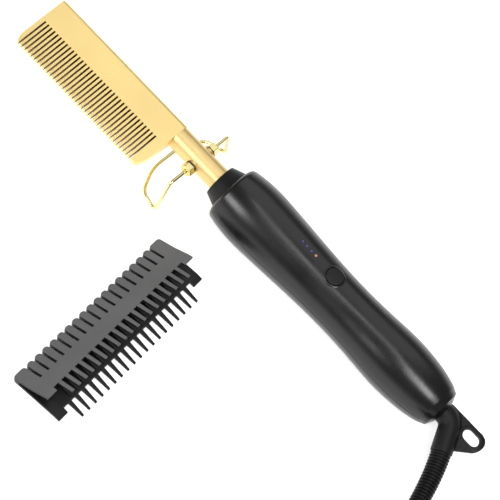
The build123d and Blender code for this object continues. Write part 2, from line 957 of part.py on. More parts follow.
with BuildPart() as cord_boot:
    with BuildLine(boot_plane) as boot_line:
        FilletPolyline((core_flange_end, 0), (elbow_station, 0), leg_end, radius=elbow_radius)
    with BuildSketch(across(core_flange_end)):
        Circle(neck_radius)
    sweep(path=boot_line.wire())
    with BuildSketch(boot_plane):
        with BuildLine():
            Polyline(
                (lug_start, 0),
                (lug_start, lug_side),
                (lug_end, lug_side),
                (lug_end, lug_heel_side),
                lug_foot,
                close=True,
            )
        make_face()
        fillet(vertices().sort_by_distance((lug_end, lug_side))[0], radius=lug_corner)
        fillet(vertices().sort_by_distance((lug_end, lug_heel_side))[0], radius=lug_heel_corner)
    extrude(amount=lug_thickness / 2, both=True)
    with BuildSketch(boot_plane):
        with Locations((lug_hole_station, lug_hole_side)):
            SlotOverall(lug_hole_length + 2 * lug_rim_width, lug_hole_width + 2 * lug_rim_width)
    extrude(amount=lug_thickness / 2 + lug_rim_height, both=True)
    with BuildSketch(boot_plane):
        with Locations((lug_hole_station, lug_hole_side)):
            SlotOverall(lug_hole_length, lug_hole_width)
    extrude(amount=lug_thickness, both=True, mode=Mode.SUBTRACT)
    with BuildSketch(across(core_flange_end)):
        Circle(core_tail_radius + seat_gap)
    extrude(amount=core_tail_length + seat_gap, mode=Mode.SUBTRACT)
export(cord_boot, "cord_boot")

# Strain relief: ribs along a bend from the boot down to the floor
relief_start = boot_line.line @ 1
relief_heading = boot_line.line % 1
cord_route = [floor_point(*point) for point in cord_points]
cord_heading = (cord_route[1] - cord_route[0]).normalized()
relief_line = Bezier(
    relief_start,
    relief_start + relief_heading * relief_lead,
    cord_route[0] - cord_heading * relief_lead,
    cord_route[0],
)
with BuildPart() as strain_relief:
    for rib in range(rib_count):
        for share, crest in ((0.0, 0), (0.3, 0), (0.45, 1), (0.85, 1)):
            along = (rib + share) / rib_count
            outer = rib_radius + (rib_end_radius - rib_radius) * along
            heading = relief_line % along
            with BuildSketch(Plane(relief_line @ along, x_dir=tool_up.cross(heading), z_dir=heading)):
                Circle(outer if crest else outer - rib_depth)
    with BuildSketch(Plane(cord_route[0], x_dir=tool_up.cross(cord_heading), z_dir=cord_heading)):
        Circle(rib_end_radius - rib_depth)
    loft(ruled=True)
export(strain_relief, "strain_relief")


def corner_radii(points):
    """Largest even arc for each corner of a route."""
    radii = []
    for before, corner, after in zip(points, points[1:], points[2:]):
        inward = corner - before
        outward = after - corner
        half_turn = radians(inward.get_angle(outward)) / 2
        radii.append(0.45 * min(inward.length, outward.length) / (sin(half_turn) / cos(half_turn)))
    return radii


with BuildPart() as power_cord:
    cord_radii = corner_radii(cord_route)
    with BuildLine() as cord_line:
        FilletPolyline(*cord_route, radius=cord_radii)
    with BuildSketch(Plane(cord_route[0], z_dir=cord_heading)):
        Circle(cord_radius)
    sweep(path=cord_line.wire())
export(power_cord, "power_cord")
cord_length = cord_line.wire().length
print("cord radii", [round(r) for r in cord_radii])
print("cord volume", round(power_cord.part.volume), "expected", round(pi * cord_radius**2 * cord_length))

# Coil: two layers of one unbroken tube, spiralling in and out again
lay_height = cord_points[-1][2]
half_turns = coil_turns / 2
coil_start = cord_route[-1] + Vector(0, -2 * cord_radius, 0)
coil_centre = coil_start + Vector(coil_outer, 0, -lay_height)


def coil_radius(turn):
    return coil_outer - coil_pitch * (half_turns - abs(turn - half_turns))


def coil_climb(turn):
    """Share of the climb to the upper layer, made in the half turn where the spiral reverses."""
    share = min(max((turn - half_turns) * 2 + 0.5, 0), 1)
    return (1 - cos(pi * share)) / 2


def coil_point(turn):
    angle = pi + 2 * pi * turn
    radius = coil_radius(turn)
    height = lay_height + coil_layer * coil_climb(turn)
    return coil_centre + Vector(radius * cos(angle), radius * sin(angle), height)


def coil_tangent(turn):
    if turn <= 0 or turn >= coil_turns:
        angle = pi + 2 * pi * turn
        return Vector(-sin(angle), cos(angle), 0)
    step = 0.001
    return (coil_point(turn + step) - coil_point(turn - step)).normalized()


def arc_pair(start, start_heading, end, end_heading):
    """Two arcs that join smoothly, from one point and heading to the next."""
    chord = end - start
    headings = start_heading + end_heading
    spread = 2 * (1 - start_heading.dot(end_heading))
    reach = chord.dot(headings)
    if spread < 1e-9:
        arm = chord.length**2 / (2 * reach)
    else:
        arm = (-reach + sqrt(reach**2 + spread * chord.length**2)) / spread
    joint = (start + start_heading * arm + end - end_heading * arm) * 0.5
    first = TangentArc(start, joint, tangent=start_heading)
    TangentArc(joint, end, tangent=first % 1)


quarters = int(round(4 * coil_turns))
coil_end = coil_point(coil_turns)
plug_heading = Vector(0, 1, 0)
plug_entry = Vector(coil_end.X + coil_tail_side, coil_end.Y + coil_tail, plug_height / 2)
with BuildPart() as cord_coil:
    with BuildLine() as coil_line:
        Line(cord_route[-1], coil_start)
        for quarter in range(quarters):
            start_turn = quarter / 4
            end_turn = (quarter + 1) / 4
            arc_pair(
                coil_point(start_turn),
                coil_tangent(start_turn),
                coil_point(end_turn),
                coil_tangent(end_turn),
            )
        arc_pair(coil_end, coil_tangent(coil_turns), plug_entry, plug_heading)
        Line(plug_entry, plug_entry + plug_heading * 2 * cord_radius)
    with BuildSketch(Plane(cord_route[-1], z_dir=(0, -1, 0))):
        Circle(cord_radius)
    sweep(path=coil_line.wire())
export(cord_coil, "cord_coil")
coil_length = coil_line.wire().length
print("coil length", round(coil_length), "turns", coil_turns)
print("coil volume", round(cord_coil.part.volume), "expected", round(pi * cord_radius**2 * coil_length))
samples = [coil_point(step * coil_turns / coil_samples) for step in range(coil_samples + 1)]
apart = int(coil_samples / coil_turns / 2)
least = min(
    (samples[a] - samples[b]).length
    for a in range(0, coil_samples, 5)
    for b in range(a + apart, coil_samples, 5)
)
print("coil gap to itself", round(least - 2 * cord_radius, 2))

# Tie round the coil, where the turns pass nearest the table's edge
bundle_outer = coil_radius(0.25) + cord_radius + tie_gap
innermost = coil_radius(half_turns - 0.5) - cord_radius
bundle_inner = sqrt(innermost**2 - (tie_width / 2) ** 2) - tie_gap
bundle_bottom = lay_height - cord_radius - tie_gap
bundle_top = lay_height + coil_layer + cord_radius + tie_gap
bundle_middle = (bundle_outer + bundle_inner) / 2
tie_plane = Plane(
    Vector(coil_centre.X, coil_centre.Y - bundle_middle, (bundle_top + bundle_bottom) / 2),
    x_dir=(0, 1, 0),
    z_dir=(1, 0, 0),
)
with BuildPart() as cord_tie:
    bundle_width = bundle_outer - bundle_inner
    bundle_height = bundle_top - bundle_bottom
    with BuildSketch(tie_plane):
        RectangleRounded(
            bundle_width + 2 * tie_thickness,
            bundle_height + 2 * tie_thickness,
            radius=cord_radius / 2 + tie_thickness,
        )
        RectangleRounded(bundle_width, bundle_height, radius=cord_radius / 2, mode=Mode.SUBTRACT)
    extrude(amount=tie_width / 2, both=True)
export(cord_tie, "cord_tie")

# Plug, lying beside the coil
plug_face = plug_entry + plug_heading * 2 * cord_radius
with BuildPart() as plug_body:
    neck_plane = Plane(plug_face, x_dir=(1, 0, 0), z_dir=plug_heading)
    shoulder_plane = neck_plane.offset(plug_neck)
    with BuildSketch(neck_plane):
        RectangleRounded(plug_neck_width, plug_neck_height, radius=plug_fillet)
    with BuildSketch(shoulder_plane):
        RectangleRounded(plug_width, plug_height, radius=plug_fillet)
    loft()
    with BuildSketch(shoulder_plane):
        RectangleRounded(plug_width, plug_height, radius=plug_fillet)
    extrude(amount=plug_length - plug_neck)
export(plug_body, "plug_body")

with BuildPart() as plug_pins:
    with BuildSketch(neck_plane.offset(plug_length)):
        with GridLocations(pin_spacing, 0, 2, 1):
            Rectangle(pin_thickness, pin_width)
    extrude(amount=pin_length)
export(plug_pins, "plug_pins")

# Guard: a slotted channel lying on its lower edge, with two rows of thin teeth
guard_length_way = Vector(cos(yaw), sin(yaw), 0)
guard_flat_way = Vector(sin(yaw), -cos(yaw), 0)
guard_out_way = guard_flat_way * cos(guard_roll) + Vector(0, 0, 1) * sin(guard_roll)
guard_up_way = Vector(0, 0, 1) * cos(guard_roll) - guard_flat_way * sin(guard_roll)
guard_base = floor_point(*guard_place, guard_tip_half * cos(guard_roll))
guard_plan = Plane(guard_base, x_dir=guard_out_way, z_dir=guard_up_way)
guard_section = Plane(guard_base, x_dir=guard_out_way, z_dir=-guard_length_way)


def tooth_gap(root, tip, start_side, end_side):
    """Space between two thin teeth, narrow at the root and wide at the tips."""
    flare = (thin_tooth_root - thin_tooth_end) / 2
    Polygon(
        (root, start_side),
        (root, end_side),
        (tip, end_side + flare),
        (tip + thin_tooth_overrun, end_side + flare),
        (tip + thin_tooth_overrun, start_side - flare),
        (tip, start_side - flare),
        align=None,
    )


with BuildPart() as comb_guard:
    with BuildSketch(guard_section):
        with BuildLine():
            Polyline(
                (0, guard_tip_half),
                (guard_throat, guard_throat_half),
                (guard_upper_root, guard_upper_root_half),
                (guard_upper_tip, guard_upper_tip_half),
                (guard_upper_tip, guard_upper_tip_half - guard_tip_wall),
                (guard_upper_root, guard_upper_root_half - guard_wall),
                (guard_throat, guard_throat_half - guard_wall),
                (guard_channel_start, guard_channel_half),
                (guard_channel_start, -guard_channel_half),
                (guard_throat, -guard_throat_half + guard_wall),
                (guard_lower_root, -guard_lower_root_half + guard_wall),
                (guard_lower_tip, -guard_lower_tip_half + guard_tip_wall),
                (guard_lower_tip, -guard_lower_tip_half),
                (guard_lower_root, -guard_lower_root_half),
                (guard_throat, -guard_throat_half),
                (0, -guard_tip_half),
                close=True,
            )
        make_face()
        bends = vertices().filter_by_position(
            Axis.X, guard_throat - fillet_spare, guard_lower_root + fillet_spare
        )
        fillet(bends, radius=guard_bend)
    extrude(amount=guard_length / 2, both=True)
    with BuildSketch(guard_plan):
        with Locations((guard_throat / 2, 0)):
            with GridLocations(0, wide_slot_pitch, 1, wide_slot_count):
                Rectangle(guard_throat, wide_slot_width)
        with GridLocations(0, wide_slot_pitch, 1, wide_slot_count):
            Rectangle(guard_throat / 2, wide_slot_width)
    extrude(amount=guard_lower_tip_half, both=True, mode=Mode.SUBTRACT)
    for root, tip, flange, upward in (
        (guard_upper_root, guard_upper_tip, guard_upper_flange, 1),
        (guard_lower_root, guard_lower_tip, guard_lower_flange, -1),
    ):
        with BuildSketch(guard_plan):
            last = (thin_tooth_count - 1) * thin_tooth_pitch / 2
            for step in range(thin_tooth_count - 1):
                middle = -last + (step + 0.5) * thin_tooth_pitch
                half_gap = (thin_tooth_pitch - thin_tooth_root) / 2
                tooth_gap(root, tip, middle - half_gap, middle + half_gap)
            flange_edge = guard_length / 2 - guard_flange_width
            tooth_edge = last + thin_tooth_root / 2
            for hand in (-1, 1):
                Polygon(
                    (root, hand * tooth_edge),
                    (root, hand * flange_edge),
                    (flange, hand * flange_edge),
                    (flange, hand * guard_length),
                    (tip + thin_tooth_overrun, hand * guard_length),
                    (tip + thin_tooth_overrun, hand * (last + thin_tooth_end / 2)),
                    (tip, hand * (last + thin_tooth_end / 2)),
                    align=None,
                )
        extrude(amount=upward * 2 * guard_lower_tip_half, mode=Mode.SUBTRACT)
    upright_edges = edges().filter_by(Axis(guard_base, guard_up_way))
    tip_edges = upright_edges.group_by(Axis(guard_base, guard_out_way))[0]
    fillet(tip_edges, radius=min(wide_tip_round, 0.45 * (wide_slot_pitch - wide_slot_width)))
export(comb_guard, "comb_guard")

print("pitch", round(degrees(pitch), 3), "axis height", round(axis_height, 3))
print("middle", round(middle_x, 3), round(middle_y, 3), "guard roll", round(degrees(guard_roll), 2))
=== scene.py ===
from math import asin, atan2, cos, pi, radians, sin, sqrt, tan

import bmesh
import bpy
from bmesh.types import BMFace, BMVert
from bpy.props import FloatProperty, FloatVectorProperty, IntProperty, PointerProperty
from bpy.types import Operator, Panel, PropertyGroup
from mathutils import Matrix, Vector
from mathutils.bvhtree import BVHTree


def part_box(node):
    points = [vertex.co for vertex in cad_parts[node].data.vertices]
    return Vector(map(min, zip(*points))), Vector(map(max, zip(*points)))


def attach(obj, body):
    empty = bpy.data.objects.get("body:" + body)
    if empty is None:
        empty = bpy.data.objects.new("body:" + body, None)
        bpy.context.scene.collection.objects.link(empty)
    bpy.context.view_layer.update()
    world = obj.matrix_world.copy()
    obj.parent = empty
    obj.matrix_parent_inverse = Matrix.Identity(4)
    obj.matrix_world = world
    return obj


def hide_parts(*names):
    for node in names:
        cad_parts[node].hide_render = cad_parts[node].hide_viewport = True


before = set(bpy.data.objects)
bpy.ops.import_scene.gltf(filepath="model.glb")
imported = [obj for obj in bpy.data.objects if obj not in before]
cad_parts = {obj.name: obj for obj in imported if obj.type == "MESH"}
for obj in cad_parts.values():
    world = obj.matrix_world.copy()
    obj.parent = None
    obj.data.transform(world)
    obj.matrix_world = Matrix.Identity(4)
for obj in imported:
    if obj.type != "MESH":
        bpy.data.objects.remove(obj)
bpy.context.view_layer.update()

bl_info = {
    "name": "Heated Straightening Comb",
    "version": (1, 0, 0),
    "blender": (4, 5, 0),
    "location": "View3D > Sidebar > Comb",
    "description": "Gold comb on a black handle, with its stand, cord and loose guard",
    "category": "Add Mesh",
}

# Sizes below are millimetres, and these matrices turn them into the frame's metres
MM = 0.001
TOOL_PITCH = asin(0.036434)
COLLAR_PLACE = Vector((-33.793, 60.718, 21.475))
FLOOR = Matrix.Scale(MM, 4)
TOOL = FLOOR @ Matrix.Translation(COLLAR_PLACE) @ Matrix.Rotation(TOOL_PITCH, 4, "Y")
BOOT = TOOL @ Matrix.Rotation(radians(16.2), 4, "X")

# The guard's own frame: x out of its broad teeth, y along it, z up through it
GUARD_TURN = radians(93.74)
GUARD_ROLL = atan2(7.5, 35.6)
GUARD = (
    FLOOR
    @ Matrix.Translation((-30.143, -33.512, 1.468))
    @ Matrix.Rotation(GUARD_TURN - pi / 2, 4, "Z")
    @ Matrix.Rotation(-GUARD_ROLL, 4, "Y")
)

# Nearly all of a noise texture's values lie between these two
NOISE_RANGE = (0.3, 0.7)


def colour_property(name, description, default):
    return FloatVectorProperty(
        name=name, description=description, default=default, subtype="COLOR", min=0, max=1
    )


def length_property(name, description, millimetres):
    return FloatProperty(
        name=name, description=description, default=millimetres * MM, unit="LENGTH", min=0
    )


class CombSizes(PropertyGroup):
    """Sizes of the heated comb."""

    length: length_property("Length", "Comb from tip to heel", 91.5)
    tooth_reach: length_property("Tooth reach", "From the shank's axis to the tooth tips", 29.9)
    slot_width: length_property("Slot width", "Gap between two teeth", 0.9)
    slot_pitch: length_property("Slot pitch", "From one slot to the next", 2.34)
    slot_count: IntProperty(name="Slots", description="Slots between the teeth", default=36, min=1)
    edge: length_property("Edge", "Rounding of the comb's sharp edges", 0.16)


class GuardSizes(PropertyGroup):
    """Sizes of the slide-on guard."""

    length: length_property("Length", "Guard from end to end", 111.0)
    broad_pitch: length_property("Broad pitch", "From one broad tooth to the next", 5.51)
    broad_gap: length_property("Broad gap", "Slot between two broad teeth", 1.3)
    broad_slots: IntProperty(name="Broad slots", description="Slots in the back", default=18, min=1)
    thin_pitch: length_property("Thin pitch", "From one thin tooth to the next", 4.93)
    thin_count: IntProperty(name="Thin teeth", description="Thin teeth in each row", default=19, min=2)
    edge: length_property("Edge", "Rounding of the guard's edges", 0.22)


class CordSizes(PropertyGroup):
    """Sizes of the mains cord and its coil."""

    diameter: length_property("Diameter", "Cord's outer diameter", 6.0)
    length: length_property("Length", "Cord from the relief to the plug", 1785.0)
    coil_radius: length_property("Coil radius", "Middle of the coil's outer turn", 48.5)
    coil_pitch: length_property("Coil pitch", "From one turn to the next", 6.5)
    turns: FloatProperty(name="Turns", description="Turns in the coil", default=7.5, min=1)


class FinishColours(PropertyGroup):
    """Colours of the finishes."""

    comb: colour_property("Comb", "Satin gold of the comb", (0.94, 0.715, 0.298))
    # Dark brown for the slot walls: painted shade deep in the comb's slots, not a colour of the metal
    slots: colour_property("Slots", "Uncoated metal in the comb's slots", (0.24, 0.14, 0.03))
    shank: colour_property("Shank", "Polished gold of the shank", (0.84, 0.63, 0.28))
    fittings: colour_property("Fittings", "Brass of the stand and bushes", (0.80, 0.70, 0.34))
    handle: colour_property("Handle", "Black of the handle", (0.0045, 0.0045, 0.005))
    rubber: colour_property("Rubber", "Black of the boot and cord", (0.0045, 0.0045, 0.005))
    # Outward faces take a lit grey and the other faces a shaded black: painted light and painted shade on
    # the guard's one plastic
    guard_lit_grey: colour_property("Guard outside", "Matt grey of the guard", (0.112, 0.113, 0.114))
    guard_shaded_black: colour_property("Guard inside", "Smooth black inside the guard", (0.007, 0.007, 0.0075))


class StageLook(PropertyGroup):
    """Light and floor of the studio."""

    floor: colour_property("Floor", "Colour of the floor", (0.80, 0.80, 0.80))
    sky: FloatProperty(name="Sky", description="Brightness overhead", default=0.21, min=0)
    key: FloatProperty(name="Key", description="Brightness of the broad lamp", default=0.75, min=0)
    strip: FloatProperty(name="Strips", description="Brightness of the narrow lamps", default=4.2, min=0)
    lens: FloatProperty(name="Lens", description="Focal length in millimetres", default=138.7, min=1)


# Materials


def range_node(nodes, *limits):
    """A Map Range node that takes its first two limits to the last two."""
    node = nodes.new("ShaderNodeMapRange")
    for name, value in zip(("From Min", "From Max", "To Min", "To Max"), limits):
        node.inputs[name].default_value = value
    return node


class Finish:
    """A procedural material: a Principled shader and patterns on Object coordinates."""

    def __init__(self, name, colour, roughness, metallic=0.0, **values):
        self.material = bpy.data.materials.new(name)
        self.material.use_nodes = True
        self.nodes = self.material.node_tree.nodes
        self.shader = self.nodes["Principled BSDF"]
        self.colour = tuple(colour)
        self.set("Base Color", (*colour, 1))
        self.set("Roughness", roughness)
        self.set("Metallic", metallic)
        for socket, value in values.items():
            self.set(socket.replace("_", " "), value)
        self.material.diffuse_color = (*colour, 1)

    def set(self, socket, value):
        self.shader.inputs[socket].default_value = value

    def link(self, output, target):
        self.material.node_tree.links.new(output, target)

    def noise(self, scale, detail, stretch=(1, 1, 1)):
        """Noise over the piece, in features per metre."""
        coords = self.nodes.new("ShaderNodeTexCoord")
        mapping = self.nodes.new("ShaderNodeMapping")
        texture = self.nodes.new("ShaderNodeTexNoise")
        mapping.inputs["Scale"].default_value = stretch
        texture.inputs["Scale"].default_value = scale
        texture.inputs["Detail"].default_value = detail
        self.link(coords.outputs["Object"], mapping.inputs["Vector"])
        self.link(mapping.outputs["Vector"], texture.inputs["Vector"])
        return texture.outputs["Fac"]

    def vary_roughness(self, pattern, low, high):
        spread = range_node(self.nodes, *NOISE_RANGE, low, high)
        self.link(pattern, spread.inputs["Value"])
        self.link(spread.outputs["Result"], self.shader.inputs["Roughness"])

    def vary_colour(self, pattern, dark, light):
        """Colour between dark and light times its own."""
        ramp = self.nodes.new("ShaderNodeValToRGB")
        for element, place, factor in zip(ramp.color_ramp.elements, NOISE_RANGE, (dark, light)):
            element.position = place
            element.color = (*[min(part * factor, 1) for part in self.colour], 1)
        self.link(pattern, ramp.inputs["Fac"])
        self.link(ramp.outputs["Color"], self.shader.inputs["Base Color"])

    def grain(self, pattern, height):
        """Bump of a height in millimetres."""
        bump = self.nodes.new("ShaderNodeBump")
        bump.inputs["Distance"].default_value = height * MM
        self.link(pattern, bump.inputs["Height"])
        self.link(bump.outputs["Normal"], self.shader.inputs["Normal"])


def satin_gold(name, colour, roughness):
    """Gold coating over a fine grain that runs along the comb."""
    finish = Finish(name, colour, roughness, 1.0)
    finish.vary_roughness(finish.noise(60, 4), roughness - 0.03, roughness + 0.06)
    finish.vary_colour(finish.noise(25, 2), 0.97, 1.02)
    finish.grain(finish.noise(900, 3, (0.08, 1, 1)), 0.004)
    return finish.material


def polished_gold(name, colour, roughness):
    """Smooth gold with slow changes of gloss along the tool."""
    finish = Finish(name, colour, roughness, 1.0)
    finish.vary_roughness(finish.noise(30, 1, (0.1, 1, 1)), roughness * 0.97, roughness * 1.05)
    finish.vary_colour(finish.noise(40, 2), 0.96, 1.02)
    return finish.material


def satin_plastic(name, colour, roughness, height=0.006, **values):
    """Moulded plastic with a fine spark-eroded grain."""
    finish = Finish(name, colour, roughness, **values)
    finish.vary_roughness(finish.noise(45, 5), roughness - 0.04, roughness + 0.05)
    finish.vary_colour(finish.noise(30, 3), 0.92, 1.1)
    finish.grain(finish.noise(2600, 2), height)
    return finish.material


def soft_rubber(name, colour, roughness):
    """Moulded rubber, a little dusty and uneven."""
    finish = Finish(name, colour, roughness, Specular_IOR_Level=0.25)
    finish.vary_roughness(finish.noise(160, 5), roughness - 0.06, roughness + 0.06)
    finish.vary_colour(finish.noise(110, 4), 0.85, 1.25)
    finish.grain(finish.noise(1700, 3), 0.012)
    return finish.material


def plain_metal(name, colour, roughness):
    """Uncoated metal, a little blotchy from handling."""
    finish = Finish(name, colour, roughness, 1.0)
    finish.vary_roughness(finish.noise(400, 4), roughness * 0.8, roughness * 1.3)
    finish.vary_colour(finish.noise(150, 2), 0.93, 1.03)
    return finish.material


def lamp_window(name, colour, glow):
    """A small glossy window with a faint glow of its own."""
    finish = Finish(name, colour, 0.18)
    finish.set("Emission Color", (*colour, 1))
    finish.set("Emission Strength", glow)
    finish.vary_roughness(finish.noise(900, 2), 0.12, 0.25)
    return finish.material


def board_laminate():
    """Green solder mask with the faint lines of the copper below it."""
    mask = (0.010, 0.085, 0.035)
    finish = Finish("board_laminate", mask, 0.35)
    coords = finish.nodes.new("ShaderNodeTexCoord")
    brick = finish.nodes.new("ShaderNodeTexBrick")
    values = {
        "Scale": 90,
        "Color1": (*mask, 1),
        "Color2": (0.013, 0.110, 0.045, 1),
        "Mortar": (0.030, 0.170, 0.080, 1),
        "Mortar Size": 0.03,
    }
    for name, value in values.items():
        brick.inputs[name].default_value = value
    finish.link(coords.outputs["Object"], brick.inputs["Vector"])
    finish.link(brick.outputs["Color"], finish.shader.inputs["Base Color"])
    return finish.material


# Mesh helpers

# Corners nearer than this, in millimetres, count as one
NEAR = 1e-5


def only(items, kind):
    """The corners or the faces among what an operator gives back."""
    return [item for item in items if isinstance(item, kind)]


def extrude_to(bm, face, place):
    """Extrudes a face and places the new corners with place(vertex)."""
    grown = bmesh.ops.extrude_face_region(bm, geom=[face])["geom"]
    for vertex in only(grown, BMVert):
        place(vertex)
    if all(len(edge.link_faces) > 2 for edge in face.edges):
        bmesh.ops.delete(bm, geom=[face], context="FACES_ONLY")
    return only(grown, BMFace)[0]


def polygon(bm, points):
    return bm.faces.new([bm.verts.new(point) for point in points])


def rounded_face(bm, points, radius, segments):
    """A flat face whose corners are all rounded."""
    polygon(bm, points)
    round_corners(bm, list(bm.verts), radius, segments)
    return next(iter(bm.faces))


def disc(bm, spot, radius, segments):
    """A round flat face."""
    ring = bmesh.ops.create_circle(bm, cap_ends=True, segments=segments, radius=radius, matrix=spot)["verts"]
    return ring[0].link_faces[0]


def turn_profile(bm, points, axis, steps, centre=(0, 0, 0), closed=True, merge=NEAR):
    """Turns a profile once round an axis through a centre."""
    corners = [bm.verts.new(point) for point in points]
    following = [*corners[1:], corners[0]] if closed else corners[1:]
    edges = [bm.edges.new(pair) for pair in zip(corners, following)]
    bmesh.ops.spin(bm, geom=edges, cent=centre, axis=axis, angle=2 * pi, steps=steps, use_merge=True)
    bmesh.ops.remove_doubles(bm, verts=bm.verts, dist=merge)


def sharp_edges(bm, least):
    return [edge for edge in bm.edges if edge.calc_face_angle(0) > radians(least)]


def round_edges(bm, parts, radius, segments=2, affect="EDGES"):
    bmesh.ops.bevel(
        bm,
        geom=parts,
        offset=radius,
        offset_type="OFFSET",
        segments=segments,
        profile=0.5,
        affect=affect,
        clamp_overlap=True,
        material=-1,
    )


def round_corners(bm, corners, radius, segments=5):
    round_edges(bm, corners, radius, segments, "VERTICES")


def slot_loop(bm, centre, length, width, segments=32):
    """A closed loop of edges with two straight sides and round ends, or a circle."""
    spot = Matrix.Translation((*centre, 0)) @ Matrix.Rotation(pi / segments, 4, "Z")
    loop = bmesh.ops.create_circle(bm, segments=segments, radius=width / 2, matrix=spot)["verts"]
    for vertex in loop:
        vertex.co.x += (length - width) / 2 * (1 if vertex.co.x > centre[0] else -1)
    return list(dict.fromkeys(edge for vertex in loop for edge in vertex.link_edges))


def round_loop(bm, radius, segments):
    return slot_loop(bm, (0, 0), 2 * radius, 2 * radius, segments)


def cut_across(bm, axis, values):
    """Divides the faces at some values of an axis."""
    way = Vector([int(index == axis) for index in range(3)])
    for value in values:
        everything = [*bm.verts, *bm.edges, *bm.faces]
        bmesh.ops.bisect_plane(bm, geom=everything, dist=NEAR, plane_co=way * value, plane_no=way)


def corner_near(corners, x, y):
    return min(corners, key=lambda vertex: (vertex.co.xy - Vector((x, y))).length)


def row_places(count, pitch):
    """Places in millimetres of a row about the origin, its pitch in metres."""
    return [(index - (count - 1) / 2) * pitch / MM for index in range(count)]


def thicken(bm, faces, shift):
    """Gives flat faces a thickness along a shift."""
    grown = bmesh.ops.extrude_face_region(bm, geom=faces)["geom"]
    bmesh.ops.translate(bm, verts=only(grown, BMVert), vec=shift)


def written(bm, name):
    """The bmesh as a mesh."""
    mesh = bpy.data.meshes.new(name)
    bm.to_mesh(mesh)
    bm.free()
    return mesh


def placed(name, data):
    """A new object of the scene."""
    thing = bpy.data.objects.new(name, data)
    bpy.context.scene.collection.objects.link(thing)
    return thing


def join(target, source):
    """Moves one bmesh into another."""
    carrier = written(source, "carrier")
    target.from_mesh(carrier)
    bpy.data.meshes.remove(carrier)


def ring_plate(bm, outline, hole, shift):
    """A plate between an outer loop of edges and a hole's loop, thickened along a shift."""
    filled = bmesh.ops.triangle_fill(bm, use_beauty=True, edges=outline + hole)["geom"]
    thicken(bm, only(filled, BMFace), shift)


def add_piece(bm, name, place, body, material, replaced, least=38):
    """Writes the bmesh as a piece that rides on a body and stands for CAD nodes."""
    bmesh.ops.transform(bm, matrix=place, verts=bm.verts)
    bmesh.ops.recalc_face_normals(bm, faces=bm.faces)
    mesh = written(bm, name)
    mesh.shade_smooth()
    mesh.set_sharp_from_angle(angle=radians(least))
    piece = placed(name, mesh)
    for entry in material if isinstance(material, list) else [material]:
        mesh.materials.append(entry)
    weights = piece.modifiers.new("face weights", "WEIGHTED_NORMAL")
    weights.keep_sharp = True
    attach(piece, body)
    if replaced:
        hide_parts(*replaced)
    return piece


def dress(nodes, material):
    """Gives carried-over CAD nodes their material."""
    for name in nodes:
        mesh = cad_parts[name].data
        mesh.materials.clear()
        mesh.materials.append(material)


# Pieces


class COMB_OT_heated_comb(Operator):
    """Builds the gold comb: a tapered bar with a round back and a row of teeth"""

    bl_idname = "straightener.heated_comb"
    bl_label = "Heated Comb"

    back = 5.6
    back_round = 2.8
    back_steps = 6
    shoulder = 2.5
    half_thickness = 6.0
    root = 11.7
    root_half = 4.2
    tip_half = 1.3
    heel_station = -30.85
    first_slot = 3.1
    slot_slack = 0.1
    slot_margins = (1.0, 3.0)
    tip_corner = 2.4
    corner_steps = 6
    tip_chamfer = (1.6, 3.9)
    heel_curve_depth = 10.0
    heel_curve_steps = 6
    heel_setback = 2.7

    def half_at(self, y, reach):
        """Half the comb's thickness at a height above or below the shank's axis."""
        if y > self.back - self.back_round:
            rise = min(y - self.back + self.back_round, self.back_round)
            drop = self.back_round - sqrt(self.back_round**2 - rise**2)
            return self.half_thickness - drop
        if y > self.shoulder:
            return self.half_thickness
        if y > -self.root:
            share = (y + self.root) / (self.shoulder + self.root)
            return self.root_half + (self.half_thickness - self.root_half) * share
        share = (y + reach) / (reach - self.root)
        return self.tip_half + (self.root_half - self.tip_half) * share

    def outline(self, sizes, tip, reach):
        """The comb's outline: tip, back and heel, then the slots between the teeth."""
        chamfer_length, chamfer_depth = self.tip_chamfer
        half_slot = sizes.slot_width / MM / 2
        points = [
            (tip + chamfer_length, -reach),
            (tip, -reach + chamfer_depth),
            (tip, self.back),
            (self.heel_station, self.back),
        ]
        curve = self.heel_curve_depth
        curve_radius = (curve**2 + self.heel_setback**2) / (2 * self.heel_setback)
        for step in range(self.heel_curve_steps + 1):
            depth = curve * step / self.heel_curve_steps
            setback = curve_radius - sqrt(curve_radius**2 - depth**2)
            points.append((self.heel_station - setback, -reach + curve - depth))
        for slot in reversed(range(sizes.slot_count)):
            middle = tip + self.first_slot + slot * sizes.slot_pitch / MM
            for x, y in ((1, reach), (1, self.root), (-1, self.root), (-1, reach)):
                points.append((middle + x * half_slot, -y))
        return points

    def execute(self, context):
        sizes = context.scene.comb_sizes
        colours = context.scene.finish_colours
        reach = sizes.tooth_reach / MM
        tip = self.heel_station - sizes.length / MM
        bm = bmesh.new()
        polygon(bm, [(x, y, -self.half_thickness) for x, y in self.outline(sizes, tip, reach)])
        round_corners(bm, [corner_near(bm.verts, tip, self.back)], self.tip_corner, self.corner_steps)
        thicken(bm, list(bm.faces), (0, 0, 2 * self.half_thickness))
        round_start = self.back - self.back_round
        turns = [pi / 2 * step / self.back_steps for step in range(self.back_steps)]
        back_rows = [round_start + self.back_round * sin(turn) for turn in turns]
        cut_across(bm, 1, [-self.root, self.shoulder, *back_rows])
        for vertex in bm.verts:
            half = self.half_at(vertex.co.y, reach)
            vertex.co.z = half if vertex.co.z > 0 else -half
        bmesh.ops.recalc_face_normals(bm, faces=bm.faces)
        low, high = -reach + self.slot_slack, -self.root + self.slot_slack
        first, last = tip + self.slot_margins[0], self.heel_station - self.slot_margins[1]
        # Slot walls take the second material, a dark brown: painted shade in the slots
        for face in bm.faces:
            middle = face.calc_center_median()
            in_slot_shade_zone = low < middle.y < high and first < middle.x < last
            face.material_index = int(in_slot_shade_zone and abs(face.normal.z) < 0.5)
        round_edges(bm, sharp_edges(bm, 35), sizes.edge / MM)
        gold = satin_gold("comb_satin_gold", colours.comb, 0.32)
        painted_slot_shade = satin_gold("slot_painted_shade", colours.slots, 0.5)
        add_piece(bm, "comb", TOOL, "tool", [gold, painted_slot_shade], ["comb_head"])
        return {"FINISHED"}


